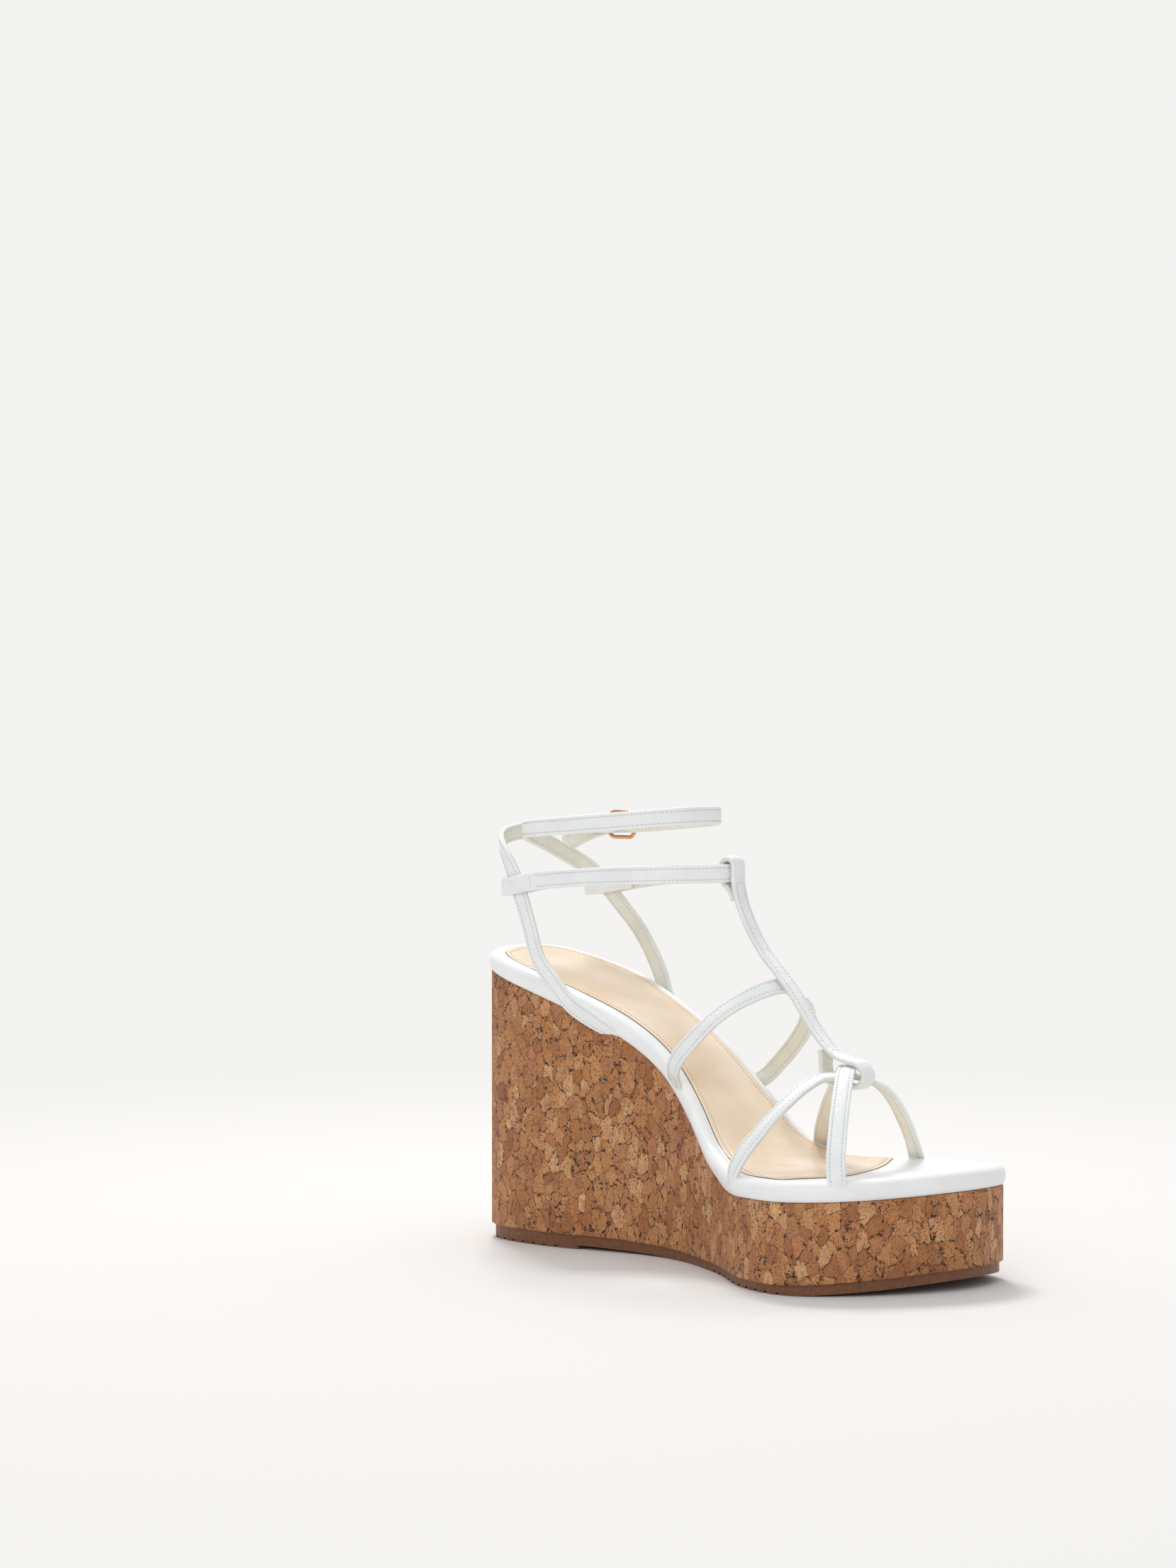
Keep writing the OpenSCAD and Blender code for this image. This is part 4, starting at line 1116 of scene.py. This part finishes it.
def stitch_mesh(name: str, rows: list[tuple], length: float = 1.15, width: float = 0.36,
                height: float = 0.18) -> bpy.types.Object:
    """One mesh with a small rounded stitch at every place of every row.

    A stitch is four hexagon rings, fat in the middle and small at both ends, with the ends closed.

    Args:
        name: Name of the piece.
        rows: (centres, directions, normals) of each row, from row_at.
        length: Length of a stitch in millimetres.
        width: Width of a stitch in millimetres.
        height: How far a stitch stands up from its centre in millimetres.

    Returns:
        The new object.
    """
    sides = 6
    sizes = ((-0.5, 0.35), (-0.25, 1.0), (0.25, 1.0), (0.5, 0.35))
    centre, along, out = (np.vstack([row[i] for row in rows]) for i in range(3))
    across = np.cross(along, out)
    turn = np.arange(sides) * 2 * math.pi / sides
    local = np.vstack([np.column_stack([np.full(sides, at * length), np.cos(turn) * width / 2 * k,
                                        np.sin(turn) * height * k]) for at, k in sizes])
    points = (centre[:, None, :] + local[None, :, 0:1] * along[:, None]
              + local[None, :, 1:2] * across[:, None] + local[None, :, 2:3] * out[:, None])
    shift = (np.arange(len(centre)) * len(local))[:, None, None]
    tubes = (grid_faces(len(sizes), sides, True)[None] + shift).reshape(-1, 4)
    caps = (end_caps(len(sizes), sides)[None] + shift).reshape(-1, sides)
    piece = make_piece(name, points.reshape(-1, 3), [tubes, caps])
    face_outwards(piece)
    return piece


# ---- the buckle -------------------------------------------------------------------------------------------

@dataclass
class Buckle:
    """A rounded wire frame that turns on its bar, and a prong hooked on the same bar."""

    bar: tuple = (31.0, 91.0, 172.3)
    turn_deg: float = 14.0
    wire: float = 1.7
    length: float = 14.0
    height: float = 12.4
    corner: float = 3.0
    prong: float = 1.2

    def place(self, local: np.ndarray) -> np.ndarray:
        """Local points (outward, backward, up) about the bar as points of the model, in millimetres."""
        return turned(local, self.turn_deg) + np.array(self.bar)

    def tube(self, name: str, path: np.ndarray, radii: np.ndarray, closed: bool) -> bpy.types.Object:
        """A round tube along a path in the plane of local y and z, or along local y.

        Each ring is a circle across the path's direction, spanned by local x and their cross product.

        Args:
            name: Name of the piece.
            path: (n, 3) local points.
            radii: (n,) radii.
            closed: Whether the path runs round to its start.

        Returns:
            The new object.
        """
        count = 20
        if closed:
            along = unit(np.roll(path, -1, axis=0) - np.roll(path, 1, axis=0))
        else:
            along = unit(np.gradient(path, axis=0))
        first = unit(np.array([1.0, 0, 0]) - along * along[:, :1])
        second = np.cross(along, first)
        a = np.arange(count) / count * 2 * math.pi
        rings = path[:, None] + radii[:, None, None] * (np.cos(a)[None, :, None] * first[:, None]
                                                        + np.sin(a)[None, :, None] * second[:, None])
        faces = [grid_faces(len(path) + closed, count, True) % (len(path) * count)]
        if not closed:
            faces.append(end_caps(len(path), count))
        piece = make_piece(name, self.place(rings.reshape(-1, 3)), faces)
        face_outwards(piece)
        return piece

    def frame(self) -> bpy.types.Object:
        """The wire frame: a rounded rectangle from the bar to the far rail.

        Returns:
            The new object.
        """
        run, rise, r = self.length - self.wire, self.height / 2 - self.wire / 2, self.corner
        corners = ((-r, rise - r, 0), (-run + r, rise - r, 90), (-run + r, -rise + r, 180),
                   (-r, -rise + r, 270))
        path = []
        for y, z, start in corners:
            a = np.radians(start + np.linspace(0, 90, 9))
            path.append(np.column_stack([np.zeros(9), y + r * np.cos(a), z + r * np.sin(a)]))
        path = np.vstack(path)
        return self.tube("buckle_frame_skin", path, np.full(len(path), self.wire / 2), True)

    def pin(self) -> bpy.types.Object:
        """The prong: a collar round the bar and a pin that ends in a ball on the far rail.

        The pin thins by 12 percent along its length, and its last tenth swells as a half circle does.

        Returns:
            The new object.
        """
        reach = self.length - self.wire
        lift = self.wire / 2 + self.prong / 2 + 0.05
        share = np.concatenate([np.linspace(0, 0.86, 10), np.linspace(0.88, 1.0, 13)])
        swell = np.sqrt(np.clip(1 - ((share - 0.95) / 0.052) ** 2, 0, 1))
        radii = np.maximum(self.prong / 2 * (1 - 0.12 * share), swell * self.prong * 0.62)
        radii = radii * np.where(share >= 1, 0.3, 1)
        path = np.column_stack([np.full(len(share), lift), 0.3 - share * (reach + 1.1), np.zeros(len(share))])
        return join_pieces(self.tube("buckle_prong_skin", path, radii, False), [self.collar()])

    def collar(self) -> bpy.types.Object:
        """The ring that hooks the prong on the bar: an upright oval carried round a circle.

        Returns:
            The new object.
        """
        steps, sides = 28, 12
        around = np.arange(steps) / steps * 2 * math.pi
        circle = (self.wire / 2 + 0.5) * np.column_stack([np.cos(around), np.sin(around), np.zeros(steps)])
        b = np.arange(sides) / sides * 2 * math.pi
        rings = (circle[:, None] + 0.44 * np.cos(b)[None, :, None] * unit(circle)[:, None]
                 + 0.75 * np.sin(b)[None, :, None] * np.array([0, 0, 1.0]))
        faces = grid_faces(steps + 1, sides, True) % (steps * sides)
        piece = make_piece("prong_collar", self.place(rings.reshape(-1, 3)), [faces])
        face_outwards(piece)
        return piece

    def build(self, finishes: Wardrobe) -> list[bpy.types.Object]:
        """Builds and dresses the frame and the prong.

        Args:
            finishes: The finishes.

        Returns:
            The pieces.
        """
        wire = self.frame()
        dress(wire, finishes.metal)
        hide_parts("buckle_frame")
        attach(wire, "frame")
        pin = self.pin()
        dress(pin, finishes.metal)
        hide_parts("buckle_prong")
        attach(pin, "prong")
        return [wire, pin]


def join_pieces(first: bpy.types.Object, others: list[bpy.types.Object]) -> bpy.types.Object:
    """Adds the meshes of the others to the first piece and deletes the others.

    Args:
        first: Mesh object to keep.
        others: Mesh objects to add.

    Returns:
        The first object.
    """
    shape = bmesh.new()
    shape.from_mesh(first.data)
    for other in others:
        shape.from_mesh(other.data)
        bpy.data.objects.remove(other)
    shape.to_mesh(first.data)
    shape.free()
    first.data.shade_smooth()
    return first


def block(centre: np.ndarray, size: tuple[float, float, float], turn_deg: float) -> bpy.types.Object:
    """A box turned about the vertical, used only to cut with.

    Args:
        centre: Its middle in millimetres.
        size: Its three sides in millimetres.
        turn_deg: Its turn in degrees.

    Returns:
        The new object.
    """
    half = [-0.5, 0.5]
    corners = np.stack(np.meshgrid(half, half, half, indexing="ij"), -1).reshape(-1, 3) * np.array(size)
    faces = np.array([(0, 1, 3, 2), (4, 6, 7, 5), (0, 4, 5, 1), (2, 3, 7, 6), (0, 2, 6, 4), (1, 5, 7, 3)])
    piece = make_piece("cutter", turned(corners, turn_deg) + centre, [faces])
    face_outwards(piece)
    return piece


def punch(centre: tuple[float, float, float], turn_deg: float, diameter: float = 1.6) -> bpy.types.Object:
    """A short round bar across a strap, used only to punch a hole.

    Args:
        centre: Its middle in millimetres.
        turn_deg: Its turn about the vertical in degrees.
        diameter: Diameter of the hole in millimetres.

    Returns:
        The new object.
    """
    sides, reach = 20, 4.0
    a = np.arange(sides) / sides * 2 * math.pi
    ring = np.column_stack([np.zeros(sides), np.cos(a) * diameter / 2, np.sin(a) * diameter / 2])
    ends = np.vstack([ring - [reach, 0, 0], ring + [reach, 0, 0]])
    faces = [grid_faces(2, sides, True), end_caps(2, sides)]
    piece = make_piece("cutter", turned(ends, turn_deg) + np.array(centre), faces)
    face_outwards(piece)
    return piece


# ---- the straps -------------------------------------------------------------------------------------------

@dataclass
class Strap:
    """A narrow stitched strap: a folded outer and a glued lining, swept along one route."""

    name: str
    route: tuple
    body: str = "shoe"
    width: float = 7.4
    outer_t: float = 1.3
    lining_t: float = 0.8
    lining_w: float = 6.8
    stitch_in: float = 1.45
    stitch_pitch: float = 1.7
    rows_on: tuple = ((0.0, 1.0),)
    bars_at: tuple = ()
    tucked: tuple = ()
    slips_in: tuple = ()
    slips_below: float = 100.0
    opening: Opening = Opening.NONE
    creased: bool = False
    round_tip: bool = False
    bend_mm: float = 6.0
    samples: int = 14

    def frame_along(self) -> tuple[np.ndarray, np.ndarray, np.ndarray, np.ndarray]:
        """The route as a smooth curve, with directions that turn with the strap.

        The side is the cross product of the curve's tangent and the way that the outer face looks, and the
        outward direction is square to both the side and the tangent.

        Returns:
            Points, side directions, outward directions and lengths along the route.
        """
        p = spline(np.array([q[0] for q in self.route], dtype=float), self.samples)
        h = spline(unit(np.array([q[1] for q in self.route], dtype=float)), self.samples)
        t = unit(np.gradient(p, axis=0))
        side = unit(np.cross(t, h))
        out = np.cross(side, t)
        return p, side, out, length_along(p)

    def section(self, kind: Kind) -> np.ndarray:
        """Closed outline of the layer across the strap, as (across, outward) points.

        The outer has folded edges that round over, a shallow channel under each stitch row and a faint crown;
        the lining is a thin flat strip with eased corners. The second half mirrors the first.

        Args:
            kind: Which layer.

        Returns:
            (n, 2) points of the outline.
        """
        if kind is Kind.LINING:
            w, t = self.lining_w / 2, self.lining_t
            right = [(w, 0.0), (w, -t * 0.5), (w - 0.25, -t * 0.92), (w - 0.7, -t), (w - 1.3, -t + 0.04),
                     (w * 0.3, -t)]
        else:
            w, t = self.width / 2, self.outer_t
            c = w - self.stitch_in
            right = [(w - 0.35, 0.0), (w - 0.06, 0.25), (w, 0.6), (w - 0.12, 0.98), (w - 0.5, t - 0.02),
                     (w - 0.95, t + 0.03), (c + 0.25, t - 0.05), (c, t - 0.16), (c - 0.25, t - 0.05),
                     (c - 0.75, t + 0.07), (0.7, t + 0.12)]
        return np.array(right + [(-a, b) for a, b in reversed(right)])

    def sweep(self, kind: Kind, sole: Sole) -> bpy.types.Object:
        """Carries the section along the route and closes both ends.

        Every ring is the route's point plus the section's points times the side and outward directions; a
        round tip narrows over its last 1.6 mm as a quarter circle does.

        Args:
            kind: Which layer.
            sole: The sole that the foot of the strap goes into.

        Returns:
            The new object.
        """
        p, side, out, s = self.frame_along()
        section = self.section(kind)
        shrink = np.ones(len(s))
        if self.round_tip:
            tip = 1.6
            left = np.clip(s[-1] - s, 0, tip) / tip
            shrink = 1 - 0.32 * (1 - np.sqrt(np.maximum(1 - (1 - left) ** 2, 0)))
        points = (p[:, None, :] + side[:, None, :] * (section[None, :, 0:1] * shrink[:, None, None])
                  + out[:, None, :] * section[None, :, 1:2])
        points = self.tuck(points, sole)
        faces = [grid_faces(len(p), len(section), True), end_caps(len(p), len(section))]
        piece = make_piece(f"{self.name}_{kind.value}_skin", points.reshape(-1, 3), faces)
        face_outwards(piece)
        return piece

    def tuck(self, points: np.ndarray, sole: Sole) -> np.ndarray:
        """Draws a foot inwards so that it slips under the cover.

        A strap with `tucked` moves by it wherever it hangs below the cork's top edge. A strap with
        `slips_in`, (from y, to y, shift), moves sideways more and more between the two lengths, in its part
        that is lower than `slips_below`.

        Args:
            points: (..., 3) points of the strap in millimetres.
            sole: The sole.

        Returns:
            Points of the same shape.
        """
        if self.tucked:
            below = smoothstep(-0.6, 1.6, sole.top_z(points[..., 1]) - points[..., 2])
            points = points + below[..., None] * np.array(self.tucked)
        if self.slips_in:
            start, end, shift = self.slips_in
            share = smoothstep(0, 1, (start - points[..., 1]) / (start - end))
            low = points[..., 2:3] < self.slips_below
            points = points + share[..., None] * np.array([shift, 0.0, 0.0]) * low
        return points

    def stitches(self, sole: Sole) -> bpy.types.Object:
        """Two rows of stitches on each face, with a short bar across where an end is sewn down.

        Args:
            sole: The sole that the foot of the strap goes into.

        Returns:
            The new object.
        """
        p, side, out, s = self.frame_along()
        rows = []
        total = s[-1]
        for low, high in self.rows_on:
            places = np.arange(low * total + 1.0, high * total - 0.8, self.stitch_pitch)
            for across in (-1, 1):
                for level, facing in ((self.outer_t - 0.08, 1), (-self.lining_t, -1)):
                    line = p + side * across * (self.width / 2 - self.stitch_in) + out * level
                    line = self.tuck(line, sole)
                    rows.append(row_at(line, out * facing, s, places))
        for share in self.bars_at:
            i = int(np.argmin(np.abs(s - share * total)))
            reach = self.width / 2 - self.stitch_in - 0.4
            line = p[i] + np.linspace(-reach, reach, 5)[:, None] * side[i] + out[i] * (self.outer_t + 0.04)
            length = np.linspace(0, 2 * reach, 5)
            rows.append(row_at(line, np.tile(out[i], (5, 1)), length, np.linspace(0.4, 2 * reach - 0.4, 3)))
        return stitch_mesh(f"{self.name}_stitches", rows)

    def cutters(self, buckle: Buckle) -> list[bpy.types.Object]:
        """Bodies to cut out of the strap: the prong's hole and two spare ones, or the slot at the bar.

        Args:
            buckle: The buckle.

        Returns:
            Closed mesh objects, none for a plain strap.
        """
        if self.opening is Opening.PRONG_HOLES:
            hole = block(buckle.place(np.array([3.4, -5.9, 0.0])), (5.6, 7.4, 1.8), buckle.turn_deg)
            return [hole, punch((34.8, 62.6, 173.9), 6), punch((34.9, 51.6, 174.9), -8)]
        if self.opening is Opening.BAR_SLOT:
            return [block(buckle.place(np.array([0.0, -0.4, 0.0])), (8.0, 6.0, 2.3), buckle.turn_deg)]
        return []

    def attach(self, piece: bpy.types.Object) -> None:
        """Lets a piece ride on the strap's body; a piece of the tail only has its transform baked in and
        rides on no body.

        Args:
            piece: Layer or stitches of the strap.
        """
        if self.body != "tail":
            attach(piece, self.body)
            return
        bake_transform(piece)

    def build(self, sole: Sole, buckle: Buckle, finishes: Wardrobe) -> list[bpy.types.Object]:
        """Builds and dresses the outer, the lining and the stitches.

        Args:
            sole: The sole that the feet go into.
            buckle: The buckle that the strap fits.
            finishes: The finishes.

        Returns:
            The pieces.
        """
        outer, lining = self.sweep(Kind.OUTER, sole), self.sweep(Kind.LINING, sole)
        for piece in (outer, lining):
            cut_away(piece, self.cutters(buckle))
        dress(outer, finishes.creased if self.creased else finishes.leather)
        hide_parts(self.name)
        dress(lining, finishes.lining)
        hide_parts(f"{self.name}_lining")
        stitches = self.stitches(sole)
        dress(stitches, finishes.thread)
        pieces = [outer, lining, stitches]
        for piece in pieces:
            self.attach(piece)
        return pieces


# ---- the studio -------------------------------------------------------------------------------------------

@dataclass(frozen=True)
class Lamp:
    """One square area light that looks at a point. Places and size in metres, power in watts."""

    name: str
    at: tuple[float, float, float]
    aim: tuple[float, float, float]
    size: float
    power: float
    colour: str

    def hang(self) -> None:
        """Puts the light in the scene: its tilt and turn are the polar angles of the way that it looks."""
        lamp = bpy.data.lights.new(self.name, "AREA")
        lamp.shape, lamp.size, lamp.energy = "SQUARE", self.size, self.power
        lamp.color = linear(self.colour)[:3]
        piece = bpy.data.objects.new(self.name, lamp)
        piece.location = self.at
        look = unit(np.array(self.aim) - np.array(self.at))
        piece.rotation_euler = (math.acos(-look[2]), 0.0, math.atan2(look[1], look[0]) - math.pi / 2)
        bpy.context.scene.collection.objects.link(piece)


@dataclass
class Studio:
    """Pale seamless stage, soft light from large sources and the camera. Sizes in metres and degrees."""

    paper: str = "#f4f3f1"
    near_tone: str = "#e4e3e2"
    sky: str = "#fbfcff"
    sky_strength: float = 0.56
    curve_at: float = 2.6
    curve_r: float = 1.2
    camera_at: tuple = (-1.11718, -1.00246, 0.2286)
    camera_turn: tuple = (88.58, 0.0, -46.07)
    lens: float = 85.97
    sensor: float = 36.0
    lamps: tuple = (
        Lamp("key", (0.7, 1.0, 2.0), (0, 0, 0.05), 0.55, 27.0, "#fffdf9"),
        Lamp("top", (-0.3, -0.1, 2.4), (0, 0, 0.05), 1.6, 8.0, "#ffffff"),
        Lamp("front", (-1.9, -0.9, 1.1), (0, 0, 0.08), 1.2, 11.0, "#fffefb"),
    )

    def stage(self) -> None:
        """A sheet of paper that lies on the floor and curves up behind: a quarter circle joins two planes."""
        a = np.radians(np.linspace(0, 90, 24))
        r, at = self.curve_r, self.curve_at
        run = np.concatenate([[-6.0], at + r * np.sin(a), [at + r]])
        rise = np.concatenate([[0.0], r * (1 - np.cos(a)), [7.0]]) - 0.1 * MM
        heading = math.radians(-self.camera_turn[2])
        away = np.array([math.sin(heading), math.cos(heading)])
        across = np.array([away[1], -away[0]])
        sideways = np.outer([-9, 9], across)
        plan = sideways[None] + run[:, None, None] * away
        points = np.concatenate([plan, np.repeat(rise[:, None, None], 2, axis=1)], axis=-1).reshape(-1, 3)
        sheet = make_piece("paper", points / MM, [grid_faces(len(run), 2, False)])
        sheet.data.materials.append(self.paper_material())

    def paper_material(self) -> bpy.types.Material:
        """Matt paper that glows by itself away from the shoe, so that it is one even tone.

        Near the shoe it takes shadows.

        Returns:
            The material.
        """
        material, tree, shader, place = start_material("paper", 0.9)
        shader.inputs["Base Color"].default_value = linear(self.near_tone)
        glow = add(tree, "ShaderNodeEmission", {"Color": linear(self.paper), "Strength": 1.0})
        reach = add(tree, "ShaderNodeVectorMath", {"operation": "LENGTH"}, {0: (place, "Object")})
        even = add(tree, "ShaderNodeMapRange",
                   {"interpolation_type": "SMOOTHSTEP", 1: 0.16, 2: 0.8, 3: 0.0, 4: 1.0},
                   {0: (reach, "Value")})
        mix = add(tree, "ShaderNodeMixShader", {}, {0: (even, 0), 1: (shader, 0), 2: (glow, 0)})
        tree.links.new(mix.outputs[0], tree.nodes["Material Output"].inputs["Surface"])
        return material

    def camera(self) -> None:
        """Puts the camera in the scene."""
        view = bpy.data.cameras.new("camera")
        view.sensor_width = view.sensor_height = self.sensor
        view.sensor_fit = "VERTICAL"
        view.lens = self.lens
        view.clip_start, view.clip_end = 0.05, 60.0
        camera = bpy.data.objects.new("camera", view)
        camera.location = self.camera_at
        camera.rotation_euler = tuple(math.radians(v) for v in self.camera_turn)
        bpy.context.scene.collection.objects.link(camera)
        bpy.context.scene.camera = camera

    def build(self) -> None:
        """Sets the world, the lights, the stage and the camera."""
        scene = bpy.context.scene
        world = bpy.data.worlds.new("studio")
        world.use_nodes = True
        background = world.node_tree.nodes["Background"]
        background.inputs["Color"].default_value = linear(self.sky)
        background.inputs["Strength"].default_value = self.sky_strength
        scene.world = world
        for lamp in self.lamps:
            lamp.hang()
        self.stage()
        self.camera()
        scene.view_settings.view_transform = "Standard"


# ---- assembly ---------------------------------------------------------------------------------------------

# Shares of a strap's length that are stitched, and where its ends are sewn down with a short bar.
STRAPS = (
    Strap("rear_toe_strap", REAR_TOE_ROUTE, rows_on=((0.06, 0.44), (0.58, 0.95))),
    Strap("front_toe_strap", FRONT_TOE_ROUTE, rows_on=((0.06, 0.95),)),
    Strap("instep_strap", INSTEP_ROUTE, rows_on=((0.04, 0.97),)),
    Strap("centre_strap", CENTRE_ROUTE, rows_on=((0.19, 0.68),), bars_at=(0.185, 0.685), creased=True),
    Strap("ankle_band", ANKLE_ROUTE, rows_on=((0.185, 0.85),), bars_at=(0.18, 0.855)),
    Strap("hole_strap", HOLE_ROUTE, tucked=(-3.2, 0, 0), opening=Opening.PRONG_HOLES),
    Strap("strap_tail", TAIL_ROUTE, body="tail", round_tip=True, rows_on=((0.0, 0.94),)),
    Strap("buckle_strap", BUCKLE_ROUTE, rows_on=((0.05, 0.9),), bars_at=(0.905,), slips_in=(49, 38, 1.9),
          opening=Opening.BAR_SLOT),
)


def main() -> None:
    """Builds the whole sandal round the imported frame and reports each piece."""
    logging.basicConfig(level=logging.INFO, format="%(message)s")
    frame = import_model()
    Studio().build()
    sole, buckle, finishes = Sole(), Buckle(), Wardrobe.make()
    pieces = sole.build(finishes)
    for strap in STRAPS:
        pieces += strap.build(sole, buckle, finishes)
    pieces += buckle.build(finishes)
    sole.dress_core(frame["nodes"], finishes)
    for piece in pieces:
        LOG.info("%s: %d faces", piece.name, len(piece.data.polygons))


if __name__ == "__main__":
    main()
